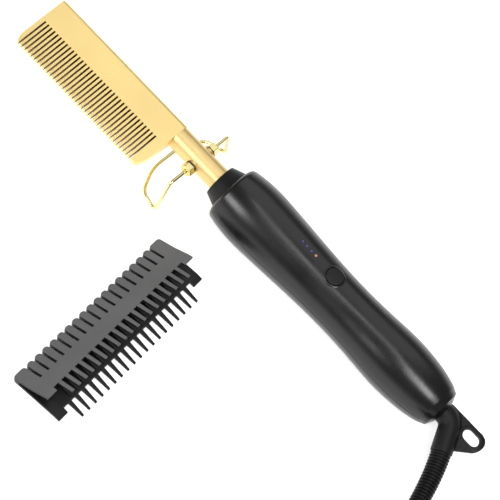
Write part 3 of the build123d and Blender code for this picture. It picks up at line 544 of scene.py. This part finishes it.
class COMB_OT_shank_fittings(Operator):
    """Builds the shank, its washers and its hexagonal bushes, and dresses the stand"""

    bl_idname = "straightener.shank_fittings"
    bl_label = "Shank Fittings"

    # Station and radius of each corner
    shank_profile = ((-40.85, 3.7), (-40.85, 4.8), (-30.85, 4.8), (-30.85, 6.5), (26.5, 6.5), (26.5, 3.7))
    shank_segments = 96
    pivot_station = -14.4
    pad_radius = 3.6
    pad_segments = 48
    pad_start = 4.5
    pad_length = 2.3
    # Start and end from the shank's axis, radius, segments and rounding of the edges
    washer = (6.8, 7.6, 3.3, 48, 0.12)
    bush = (7.6, 11.2, 6.4 / 2 / cos(pi / 6), 6, 0.3)
    wire_hole = 1.0
    hole_segments = 24

    def execute(self, context):
        colours = context.scene.finish_colours
        turned = Matrix.Translation((self.pivot_station, 0, 0)) @ Matrix.Rotation(pi / 2, 4, "X")
        washers = self.pair_of_rings(turned, *self.washer)
        bushes = self.pair_of_rings(turned, *self.bush)
        dark = satin_plastic("washer_dark", (0.030, 0.022, 0.012), 0.5)
        brass = polished_gold("fitting_brass", colours.fittings, 0.2)
        add_piece(washers, "stand_washers", TOOL, "tool", dark, ["pivot_washers"])
        add_piece(bushes, "stand_bushes", TOOL, "tool", brass, ["pivot_bushes"])
        dress(["stand_wire"], brass)
        self.build_shank(turned, polished_gold("shank_gold", colours.shank, 0.4))
        return {"FINISHED"}

    def build_shank(self, turned, gold):
        """Turns the tube with its spigot, and adds the two round pads that the washers lie on."""
        bm = bmesh.new()
        turn_profile(bm, [(x, y, 0) for x, y in self.shank_profile], (1, 0, 0), self.shank_segments)
        for hand in (-1, 1):
            spot = turned @ Matrix.Translation((0, 0, hand * self.pad_start))
            pad = disc(bm, spot, self.pad_radius, self.pad_segments)
            thicken(bm, [pad], (0, -hand * self.pad_length, 0))
        add_piece(bm, "shank", TOOL, "tool", gold, ["shank_tube"])

    def pair_of_rings(self, turned, start, end, radius, segments, edge):
        """Two rings round the wire's holes, one on each side of the shank."""
        pair = bmesh.new()
        for shift in (start, -end):
            bm = bmesh.new()
            outer = round_loop(bm, radius, segments)
            hole = round_loop(bm, self.wire_hole, self.hole_segments)
            ring_plate(bm, outer, hole, (0, 0, end - start))
            round_edges(bm, sharp_edges(bm, 40), edge)
            bmesh.ops.transform(bm, matrix=turned @ Matrix.Translation((0, 0, shift)), verts=bm.verts)
            join(pair, bm)
        return pair


class COMB_OT_handle(Operator):
    """Dresses the handle and builds its light windows and the rim round its button"""

    bl_idname = "straightener.handle"
    bl_label = "Handle"

    # Station and height of each light window, the red one last
    windows = ((53.5, 16.72), (56.6, 16.5), (60.0, 16.32), (63.2, 16.14))
    window_radius = 0.75
    window_segments = 24
    window_depth = 2.5
    window_proud = 0.06
    window_edge = 0.2
    button_station = 77.2
    # Radius and rise above the handle's surface of each corner
    rim_rows = ((5.12, -0.3), (5.12, 0.12), (5.26, 0.28), (5.6, 0.28), (5.95, 0.1), (6.05, -0.3))
    rim_segments = 72
    clear_height = 30.0

    def execute(self, context):
        colours = context.scene.finish_colours
        black = satin_plastic("handle_black", colours.handle, 0.27, Specular_IOR_Level=0.5)
        dress(["handle_top_shell", "handle_bottom_shell"], black)
        collar = satin_plastic("collar_black", colours.handle, 0.48, 0.01, Specular_IOR_Level=0.3)
        dress(["heat_collar"], collar)
        button = satin_plastic("button_black", colours.handle, 0.45, Specular_IOR_Level=0.33)
        dress(["power_button"], button)
        blue = lamp_window("window_blue", (0.043, 0.04, 0.17), 0.2)
        red = lamp_window("window_red", (0.50, 0.20, 0.13), 0.15)
        bm = bmesh.new()
        for station, height in self.windows:
            spot = Matrix.Translation((station, 0, height + self.window_proud))
            window = disc(bm, spot, self.window_radius, self.window_segments)
            thicken(bm, [window], (0, 0, -self.window_depth))
        red_start = self.windows[-1][0] - 2 * self.window_radius
        for face in bm.faces:
            face.material_index = int(face.calc_center_median().x > red_start)
        round_edges(bm, sharp_edges(bm, 40), self.window_edge, 3)
        add_piece(bm, "light_windows", TOOL, "tool", [blue, red], ["led_lenses"])
        self.build_rim(black)
        return {"FINISHED"}

    def build_rim(self, black):
        """A fine raised rim round the button's hole, laid on the handle's surface."""
        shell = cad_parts["handle_top_shell"]
        into_tool = TOOL.inverted() @ shell.matrix_world
        surface = BVHTree.FromPolygons(
            [into_tool @ vertex.co for vertex in shell.data.vertices],
            [list(face.vertices) for face in shell.data.polygons],
        )
        bm = bmesh.new()
        profile = [(self.button_station + radius, 0, rise) for radius, rise in self.rim_rows]
        turn_profile(bm, profile, (0, 0, 1), self.rim_segments, (self.button_station, 0, 0))
        for vertex in bm.verts:
            above = Vector((vertex.co.x, vertex.co.y, self.clear_height))
            vertex.co.z += surface.ray_cast(above, Vector((0, 0, -1)))[0].z
        add_piece(bm, "button_rim", TOOL, "tool", black, [])


class COMB_OT_cord_boot(Operator):
    """Builds the bent boot with its hanging lug, and the ribbed strain relief"""

    bl_idname = "straightener.cord_boot"
    bl_label = "Cord Boot"

    neck_radius = 5.75
    neck_segments = 48
    neck_start = 158.6
    elbow_station = 169.4
    elbow_turn = radians(63.6)
    elbow_radius = 7.6
    elbow_leg = 17.4
    elbow_steps = 12
    # Station and side of each corner, and the rounding of the outer two
    lug_outline = ((163.9, 0.0), (163.9, 6.2), (190.2, 6.2), (190.2, -2.4), (179.9, -11.1))
    lug_corners = ((190.2, 6.2, 4.8), (190.2, -2.4, 3.2))
    lug_thickness = 2.6
    hole_centre = (182.4, 0.8)
    hole_size = (10.0, 6.2)
    rim_width = 1.3
    rim_height = 0.4
    blend_voxel = 0.34
    rib_count = 24
    rib_radii = (5.35, 4.6)
    rib_depth = 0.9
    # Shares of a rib's pitch and of its depth
    rib_rows = ((0.0, 0.0), (0.27, 0.0), (0.36, 0.45), (0.47, 1.0), (0.83, 1.0), (0.94, 0.45))
    relief_lead = 13.0
    relief_segments = 40

    def execute(self, context):
        rubber = soft_rubber("boot_rubber", context.scene.finish_colours.rubber, 0.5)
        heading = Vector((cos(self.elbow_turn), -sin(self.elbow_turn), 0))
        bm = bmesh.new()
        self.add_elbow(bm, heading)
        self.add_lug(bm)
        boot = add_piece(bm, "boot", BOOT, "swivel", rubber, ["cord_boot"])
        boot.modifiers.clear()
        blend = boot.modifiers.new("one body", "REMESH")
        blend.mode = "VOXEL"
        blend.voxel_size = self.blend_voxel * MM
        blend.use_smooth_shade = True
        soften = boot.modifiers.new("soft corners", "SMOOTH")
        soften.factor = 0.5
        soften.iterations = 4
        self.build_relief(rubber, heading)
        return {"FINISHED"}

    def add_elbow(self, bm, heading):
        """A round bar that leaves the handle and bends towards the cord."""
        tangent = self.elbow_radius * tan(self.elbow_turn / 2)
        bend_start = self.elbow_station - tangent
        facing = Matrix.Translation((self.neck_start, 0, 0)) @ Matrix.Rotation(pi / 2, 4, "Y")

        def place(vertex):
            vertex.co.x = bend_start

        face = extrude_to(bm, disc(bm, facing, self.neck_radius, self.neck_segments), place)
        spun = bmesh.ops.spin(
            bm,
            geom=[face, *face.edges, *face.verts],
            cent=(bend_start, -self.elbow_radius, 0),
            axis=(0, 0, 1),
            angle=-self.elbow_turn,
            steps=self.elbow_steps,
        )["geom_last"]
        thicken(bm, only(spun, BMFace), heading * (self.elbow_leg - tangent))

    def add_lug(self, bm):
        """The hanging lug: a plate with two round corners, and a rim round its long hole."""
        bottom = -self.lug_thickness / 2
        plate = polygon(bm, [(x, y, bottom) for x, y in self.lug_outline])
        for x, y, radius in self.lug_corners:
            round_corners(bm, [corner_near(plate.verts, x, y)], radius)
            plate = min(bm.faces, key=lambda face: abs(face.calc_center_median().z - bottom))
        outline = list(plate.edges)
        bmesh.ops.delete(bm, geom=[plate], context="FACES_ONLY")
        hole = slot_loop(bm, self.hole_centre, *self.hole_size)
        self.drop(hole, bottom)
        ring_plate(bm, outline, hole, (0, 0, self.lug_thickness))
        wide = [size + 2 * self.rim_width for size in self.hole_size]
        rim = slot_loop(bm, self.hole_centre, *wide)
        hole = slot_loop(bm, self.hole_centre, *self.hole_size)
        rim_thickness = self.lug_thickness + 2 * self.rim_height
        self.drop(rim + hole, -rim_thickness / 2)
        ring_plate(bm, rim, hole, (0, 0, rim_thickness))

    def drop(self, edges, height):
        """Sets the height of a loop's corners."""
        for vertex in {vertex for edge in edges for vertex in edge.verts}:
            vertex.co.z = height

    def build_relief(self, rubber, heading):
        """The ribbed sleeve, turned about a straight axis and then bent along its curve."""
        start = BOOT @ (Vector((self.elbow_station, 0, 0)) + heading * self.elbow_leg)
        start_way = (BOOT.to_3x3() @ heading).normalized()
        end = Vector(CORD_ROUTE[0]) * MM
        end_way = (Vector(CORD_ROUTE[1]) - Vector(CORD_ROUTE[0])).normalized()
        reach = self.relief_lead * MM
        handles = (start, start + start_way * reach, end - end_way * reach, end)
        tool_up = (TOOL.to_3x3() @ Vector((0, 0, 1))).normalized()
        rows = [
            ((rib + share) / self.rib_count, crest)
            for rib in range(self.rib_count)
            for share, crest in self.rib_rows
        ]
        first, last = self.rib_radii
        profile = [(0, 0, 0)]
        for along, crest in [*rows, (1.0, 0.0)]:
            radius = first + (last - first) * along - self.rib_depth * (1 - crest)
            profile.append((along, radius * MM, 0))
        profile.append((1, 0, 0))
        bm = bmesh.new()
        turn_profile(bm, profile, (1, 0, 0), self.relief_segments, closed=False, merge=1e-7)
        for vertex in bm.verts:
            along, first_side, second_side = vertex.co
            place, way = bezier(handles, along)
            across = tool_up.cross(way).normalized()
            vertex.co = place + across * first_side + way.cross(across) * second_side
        add_piece(bm, "ribbed_relief", Matrix(), "swivel", rubber, ["strain_relief"], 60)


def bezier(handles, share):
    """Point and heading on a cubic curve."""
    a, b, c, d = handles
    rest = 1 - share
    place = a * rest**3 + b * 3 * rest**2 * share + c * 3 * rest * share**2 + d * share**3
    way = (b - a) * rest**2 + (c - b) * 2 * rest * share + (d - c) * share**2
    return place, way.normalized()


# The cord's points from the ribbed relief to the coil, then the coil's middle
CORD_ROUTE = (
    (154.607, 6.218, 4.9),
    (155.807, -1.782, 4.1),
    (157.207, -10.282, 4.0),
    (157.207, -19.282, 4.0),
    (157.207, -25.282, 4.0),
)
COIL_CENTRE = (205.707, -25.282)
CORD_HEIGHT = 4.0


class COMB_OT_mains_cord(Operator):
    """Lays the mains cord in its coil, with its tie, plug and pins"""

    bl_idname = "straightener.mains_cord"
    bl_label = "Mains Cord"

    points_per_turn = 24
    # Shifts from the coil's end to the plug, with heights above the floor
    tail = ((0.0, 10.0, 10.4), (1.2, 20.0, 9.0), (3.0, 28.0, 7.3), (3.0, 34.0, 7.0), (3.0, 40.0, 7.0))
    tie_wall = 0.8
    tie_round = 2.3
    # Distance from the plug's start, width and height
    plug_rows = (
        (0.0, 11.0, 10.0),
        (4.0, 11.4, 10.2),
        (7.0, 15.0, 11.6),
        (10.0, 21.6, 13.6),
        (12.5, 23.0, 14.0),
        (34.5, 23.0, 14.0),
        (36.0, 21.6, 12.6),
    )
    plug_round = 2.5
    pin_width = 1.5
    pin_round = 1.8
    small_edge = 0.2

    def coil_points(self, sizes):
        """Points of the two-layered spiral, out to in and out again."""
        half = sizes.turns / 2
        pitch = sizes.coil_pitch / MM
        points = []
        for step in range(1, int(sizes.turns * self.points_per_turn) + 1):
            turn = step / self.points_per_turn
            share = min(max((turn - half) * 2 + 0.5, 0), 1)
            radius = sizes.coil_radius / MM - pitch * (half - abs(turn - half))
            angle = pi + 2 * pi * turn
            height = CORD_HEIGHT + pitch * (1 - cos(pi * share)) / 2
            x, y = COIL_CENTRE[0] + radius * cos(angle), COIL_CENTRE[1] + radius * sin(angle)
            points.append((x, y, height))
        return points

    def execute(self, context):
        sizes = context.scene.cord_sizes
        colours = context.scene.finish_colours
        jacket = soft_rubber("cord_jacket", colours.rubber, 0.45)
        points = [*CORD_ROUTE, *self.coil_points(sizes)]
        end = points[-1]
        points += [(end[0] + x, end[1] + y, z) for x, y, z in self.tail]
        curve = bpy.data.curves.new("mains_cord", "CURVE")
        curve.dimensions = "3D"
        spline = curve.splines.new("NURBS")
        spline.points.add(len(points) - 1)
        for knot, place in zip(spline.points, points):
            knot.co = (*[value * MM for value in place], 1)
        spline.order_u = 3
        spline.use_endpoint_u = True
        spline.resolution_u = 5
        curve.bevel_depth = sizes.diameter / 2
        curve.bevel_resolution = 5
        curve.use_fill_caps = True
        curve.materials.append(jacket)
        cord = placed("mains_cord", curve)
        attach(cord, "swivel")
        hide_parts("power_cord", "cord_coil")
        tie = self.build_tie(colours)
        plug = self.build_plug(jacket)
        pins = self.build_pins()
        return {"FINISHED"}

    def build_tie(self, colours):
        low, high = [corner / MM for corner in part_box("cord_tie")]
        bm = bmesh.new()
        section = [(low.y, low.z), (high.y, low.z), (high.y, high.z), (low.y, high.z)]
        face = rounded_face(bm, [(low.x, y, z) for y, z in section], self.tie_round, 6)
        bmesh.ops.inset_region(
            bm, faces=[face], thickness=self.tie_wall, use_boundary=True, use_even_offset=True
        )
        inner = max(bm.faces, key=lambda candidate: len(candidate.verts))
        bmesh.ops.delete(bm, geom=[inner], context="FACES_ONLY")
        thicken(bm, list(bm.faces), (high.x - low.x, 0, 0))
        round_edges(bm, sharp_edges(bm, 40), self.small_edge)
        material = satin_plastic("tie_black", colours.rubber, 0.42)
        return add_piece(bm, "coil_tie", FLOOR, "swivel", material, ["cord_tie"])

    def build_plug(self, jacket):
        low, high = [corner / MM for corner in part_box("plug_body")]
        middle = (low + high) / 2
        bm = bmesh.new()
        width, height = self.plug_rows[0][1:]
        corners = [(x * width / 2, 0, z * height / 2) for x, z in ((-1, -1), (1, -1), (1, 1), (-1, 1))]
        face = rounded_face(bm, corners, self.plug_round, 4)
        for before, row in zip(self.plug_rows, self.plug_rows[1:]):
            factors = (row[1] / before[1], row[2] / before[2])

            def place(vertex):
                vertex.co = (vertex.co.x * factors[0], row[0], vertex.co.z * factors[1])

            face = extrude_to(bm, face, place)
        bmesh.ops.translate(bm, verts=bm.verts, vec=(middle.x, low.y, middle.z))
        return add_piece(bm, "plug", FLOOR, "swivel", jacket, ["plug_body"], 50)

    def build_pins(self):
        low, high = [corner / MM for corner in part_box("plug_pins")]
        width = self.pin_width
        bm = bmesh.new()
        for x in (low.x + width / 2, high.x - width / 2):
            size = Matrix.Diagonal((width, high.y - low.y, high.z - low.z, 1))
            spot = Matrix.Translation((x, (low.y + high.y) / 2, (low.z + high.z) / 2))
            bmesh.ops.create_cube(bm, size=1, matrix=spot @ size)
        ends = [
            edge
            for edge in bm.edges
            if all(vertex.co.y > high.y - width for vertex in edge.verts)
            and abs(edge.verts[0].co.x - edge.verts[1].co.x) > width / 2
        ]
        round_edges(bm, ends, self.pin_round, 5)
        round_edges(bm, sharp_edges(bm, 40), self.small_edge)
        brass = plain_metal("pin_brass", (0.72, 0.55, 0.25), 0.28)
        return add_piece(bm, "pins", FLOOR, "swivel", brass, ["plug_pins"])


class COMB_OT_comb_guard(Operator):
    """Builds the guard: broad teeth along its back, and two plates that end in thin teeth"""

    bl_idname = "straightener.comb_guard"
    bl_label = "Comb Guard"

    nose_half = 1.5
    nose_round = 1.8
    throat = 10.5
    throat_half = 3.2
    wall = 1.5
    channel_start = 4.0
    channel_lip = 0.1
    tip_wall = 0.8
    bend_reach = 1.2
    # Roots and tips are distance and half height, and a tooth is its width at the root and at the tip
    upper = {"root": (19.5, 6.0), "tip": (28.2, 7.0), "flange": 22.0, "tooth": (2.3, 2.0)}
    lower = {"root": (26.7, 6.0), "tip": (35.6, 9.0), "flange": 29.6, "tooth": (2.3, 1.4)}
    flange_width = 6.6
    # Distance and height of each end of a rib
    rib_ends = ((14.0, 2.4), (25.5, 0.8))
    rib_width = 1.0
    rib_bed = 0.3

    def outline(self, sizes, form):
        """One plate seen from above: broad teeth on its back, thin teeth and two flanges in front."""
        half_length = sizes.length / MM / 2
        half_gap = sizes.broad_gap / MM / 2
        flange, inner_end = form["flange"], half_length - self.flange_width
        root, tip = form["root"][0], form["tip"][0]
        root_width, tip_width = form["tooth"]
        tooth = ((root, root_width), (tip, tip_width), (tip, -tip_width), (root, -root_width))
        points = [(0, -half_length)]
        for middle in row_places(sizes.broad_slots, sizes.broad_pitch):
            for x, side in ((0, -1), (self.throat, -1), (self.throat, 1), (0, 1)):
                points.append((x, middle + side * half_gap))
        points += [(0, half_length), (flange, half_length), (flange, inner_end), (root, inner_end)]
        for middle in reversed(row_places(sizes.thin_count, sizes.thin_pitch)):
            points += [(x, middle + width / 2) for x, width in tooth]
        points += [(root, -inner_end), (flange, -inner_end), (flange, -half_length)]
        return points

    def height_at(self, x, form):
        """Height of the plate's outside above the guard's middle plane, with its two soft bends."""
        (root, root_half), (tip, tip_half) = form["root"], form["tip"]
        slopes = (
            (self.throat_half - self.nose_half) / self.throat,
            (root_half - self.throat_half) / (root - self.throat),
            (tip_half - root_half) / (tip - root),
        )
        height = self.nose_half + slopes[0] * x
        for place, change in ((self.throat, slopes[1] - slopes[0]), (root, slopes[2] - slopes[1])):
            past = min(max(x - place + self.bend_reach, 0), 2 * self.bend_reach)
            height += change * (past**2 / (4 * self.bend_reach) + max(x - place - self.bend_reach, 0))
        return height

    def inside_at(self, x, form):
        if x < self.channel_start - self.channel_lip / 2:
            return 0
        root, tip = form["root"][0], form["tip"][0]
        share = min(max((x - root) / (tip - root), 0), 1)
        return self.height_at(x, form) - self.wall - (self.tip_wall - self.wall) * share

    def build_plate(self, sizes, form, hand):
        """A plate bent to its section, open where it joins the other plate."""
        bm = bmesh.new()
        polygon(bm, [(x, y, 0) for x, y in self.outline(sizes, form)])
        tooth_ends = [vertex for vertex in bm.verts if vertex.co.x < NEAR]
        round_corners(bm, tooth_ends, self.nose_round)
        thicken(bm, list(bm.faces), (0, 0, 1))
        bend_middles = (self.throat, form["root"][0])
        bends = [middle + self.bend_reach * step for middle in bend_middles for step in (-1, 0, 1)]
        cut_across(bm, 0, [self.channel_start - self.channel_lip, self.channel_start, *bends])
        for vertex in bm.verts:
            place = self.height_at if vertex.co.z > 0.5 else self.inside_at
            vertex.co.z = hand * place(vertex.co.x, form)
        middle_faces = [face for face in bm.faces if all(abs(v.co.z) < NEAR for v in face.verts)]
        bmesh.ops.delete(bm, geom=middle_faces, context="FACES_ONLY")
        return bm

    def add_rib(self, bm, middle):
        """A low rib on the inside of the lower plate."""
        side = middle - self.rib_width / 2
        low, high = [], []
        for x, height in self.rib_ends:
            bed = -self.inside_at(x, self.lower)
            low.append((x, side, bed - self.rib_bed))
            high.append((x, side, bed + height))
        thicken(bm, [polygon(bm, [*low, *reversed(high)])], (0, self.rib_width, 0))

    def execute(self, context):
        sizes = context.scene.guard_sizes
        colours = context.scene.finish_colours
        bm = self.build_plate(sizes, self.upper, 1)
        join(bm, self.build_plate(sizes, self.lower, -1))
        bmesh.ops.remove_doubles(bm, verts=bm.verts, dist=NEAR)
        for middle in row_places(sizes.thin_count - 1, sizes.thin_pitch):
            self.add_rib(bm, middle)
        bmesh.ops.recalc_face_normals(bm, faces=bm.faces)
        # Faces that look outwards get the lit grey, and the rest get the shaded black: painted light
        # outside, painted shade inside and on the side walls
        for face in bm.faces:
            outwards = face.normal.z * (1 if face.calc_center_median().z > 0 else -1)
            face.material_index = int(outwards < 0.6)
        round_edges(bm, sharp_edges(bm, 35), sizes.edge / MM)
        # Painted light: a lit grey for the outer faces. Painted shade: a shaded black for the inside and the
        # edges
        outside = satin_plastic("guard_painted_lit_grey", colours.guard_lit_grey, 0.55, 0.012)
        black = colours.guard_shaded_black
        inside = satin_plastic("guard_painted_shade_black", black, 0.4, 0.005, Specular_IOR_Level=0.3)
        add_piece(bm, "guard", GUARD, "guard", [outside, inside], ["comb_guard"])
        return {"FINISHED"}


class COMB_OT_inner_parts(Operator):
    """Dresses the parts that the handle and the comb enclose"""

    bl_idname = "straightener.inner_parts"
    bl_label = "Inner Parts"

    metals = (
        ("inner_steel", (0.45, 0.45, 0.44), 0.35, ("heater_cartridge", "shank_retainer", "case_screws")),
        ("contact_brass", (0.68, 0.50, 0.22), 0.3, ("contact_blades", "slip_rings")),
    )
    mouldings = (
        ("unglazed_ceramic", (0.70, 0.66, 0.58), 0.7, ("temperature_sensor", "thermal_fuse")),
        ("dark_moulding", (0.030, 0.030, 0.032), 0.5, ("board_components", "tact_switch", "switch_plunger")),
        ("grey_moulding", (0.09, 0.09, 0.09), 0.5, ("contact_block", "swivel_core")),
        ("lead_white", (0.60, 0.60, 0.57), 0.5, ("heater_leads", "mains_leads", "led_indicators")),
        ("lead_amber", (0.50, 0.34, 0.08), 0.45, ("sensor_leads",)),
    )

    def execute(self, context):
        for make, rows in ((plain_metal, self.metals), (satin_plastic, self.mouldings)):
            for name, colour, roughness, nodes in rows:
                dress(nodes, make(name, colour, roughness))
        dress(["control_board"], board_laminate())
        return {"FINISHED"}


class COMB_OT_studio_stage(Operator):
    """Sets the pale floor, the soft lamps and the camera"""

    bl_idname = "straightener.studio_stage"
    bl_label = "Studio Stage"

    camera_place = (0.121966, -0.456211, 0.843888)
    camera_axes = (
        (0.70139, 0.64919, 0.29429),
        (-0.70233, 0.559, 0.44074),
        (0.12162, -0.51582, 0.84802),
    )
    floor_half = 3.0
    floor_lift = 0.64
    sky_fade = 0.28
    lamp_target = (0.0, 0.03, 0.02)
    # Watts per square metre of lamp for a brightness of one
    lamp_power = 4

    def seen_light(self, paper):
        """One where a camera, mirror or glass ray looks, and nought for the light that falls."""
        path = paper.nodes.new("ShaderNodeLightPath")
        total = path.outputs["Is Camera Ray"]
        for name in ("Is Glossy Ray", "Is Transmission Ray"):
            larger = paper.nodes.new("ShaderNodeMath")
            larger.operation = "MAXIMUM"
            paper.link(total, larger.inputs[0])
            paper.link(path.outputs[name], larger.inputs[1])
            total = larger.outputs[0]
        return total

    def lamp(self, name, place, size, brightness, along=(1, 0, 0)):
        """A soft rectangle that faces the object, its first side along a direction."""
        data = bpy.data.lights.new(name, "AREA")
        data.shape = "RECTANGLE"
        data.size, data.size_y = size
        data.energy = self.lamp_power * brightness * size[0] * size[1]
        away = (Vector(place) - Vector(self.lamp_target)).normalized()
        side = Vector(along)
        side = (side - away * side.dot(away)).normalized()
        axes = Matrix((side, away.cross(side), away)).transposed()
        placed(name, data).matrix_world = Matrix.Translation(place) @ axes.to_4x4()

    def execute(self, context):
        scene = context.scene
        look = scene.stage_look
        scene.view_settings.view_transform = "Standard"

        bm = bmesh.new()
        bmesh.ops.create_grid(bm, x_segments=1, y_segments=1, size=self.floor_half)
        floor = placed("studio_floor", written(bm, "studio_floor"))
        paper = Finish("floor_paper", look.floor, 0.9)
        lift = paper.nodes.new("ShaderNodeMath")
        lift.operation = "MULTIPLY"
        lift.inputs[1].default_value = self.floor_lift
        paper.link(self.seen_light(paper), lift.inputs[0])
        paper.set("Emission Color", (1, 1, 1, 1))
        paper.link(lift.outputs[0], paper.shader.inputs["Emission Strength"])
        floor.data.materials.append(paper.material)

        world = bpy.data.worlds.new("studio_sky")
        world.use_nodes = True
        scene.world = world
        nodes, links = world.node_tree.nodes, world.node_tree.links
        background = nodes["Background"]
        background.inputs["Color"].default_value = (1, 1, 1, 1)
        coords = nodes.new("ShaderNodeTexCoord")
        parts = nodes.new("ShaderNodeSeparateXYZ")
        fade = range_node(nodes, 0.0, self.sky_fade, 1.0, look.sky)
        fade.interpolation_type = "SMOOTHSTEP"
        links.new(coords.outputs["Generated"], parts.inputs["Vector"])
        links.new(parts.outputs["Z"], fade.inputs["Value"])
        links.new(fade.outputs["Result"], background.inputs["Strength"])

        self.lamp("key_softbox", (-0.17, 0.68, 1.04), (1.1, 1.0), look.key)
        self.lamp("slanted_strip", (0.05, -0.11, 1.34), (0.8, 0.16), look.strip, (0.60, -0.466, -0.05))
        self.lamp("front_softbox", (-0.52, -1.02, 0.86), (0.66, 0.50), look.strip * 1.6)
        self.lamp("rear_softbox", (0.66, -0.45, 1.22), (0.60, 0.50), look.strip * 2.1)

        data = bpy.data.cameras.new("photo_camera")
        data.lens = look.lens
        data.sensor_width = 36
        data.sensor_fit = "HORIZONTAL"
        axes = Matrix(self.camera_axes).transposed()
        scene.camera = placed("photo_camera", data)
        scene.camera.matrix_world = Matrix.Translation(self.camera_place) @ axes.to_4x4()
        return {"FINISHED"}


class COMB_PT_sidebar(Panel):
    """Lists the pieces and their sizes"""

    bl_label = "Straightening Comb"
    bl_space_type = "VIEW_3D"
    bl_region_type = "UI"
    bl_category = "Comb"

    def draw(self, context):
        for operator in OPERATORS:
            self.layout.operator(operator.bl_idname)
        for name in GROUPS:
            column = self.layout.column(heading=name)
            group = getattr(context.scene, name)
            for key in group.bl_rna.properties.keys():
                if key not in ("rna_type", "name"):
                    column.prop(group, key)


GROUPS = {
    "comb_sizes": CombSizes,
    "guard_sizes": GuardSizes,
    "cord_sizes": CordSizes,
    "finish_colours": FinishColours,
    "stage_look": StageLook,
}
OPERATORS = (
    COMB_OT_studio_stage,
    COMB_OT_mains_cord,
    COMB_OT_cord_boot,
    COMB_OT_heated_comb,
    COMB_OT_shank_fittings,
    COMB_OT_handle,
    COMB_OT_comb_guard,
    COMB_OT_inner_parts,
)


def register():
    for entry in (*GROUPS.values(), *OPERATORS, COMB_PT_sidebar):
        bpy.utils.register_class(entry)
    for name, group in GROUPS.items():
        setattr(bpy.types.Scene, name, PointerProperty(type=group))


def unregister():
    for name in GROUPS:
        delattr(bpy.types.Scene, name)
    for entry in reversed((*GROUPS.values(), *OPERATORS, COMB_PT_sidebar)):
        bpy.utils.unregister_class(entry)


def main():
    register()
    for operator in OPERATORS:
        group, name = operator.bl_idname.split(".")
        getattr(getattr(bpy.ops, group), name)()


if __name__ == "__main__":
    main()
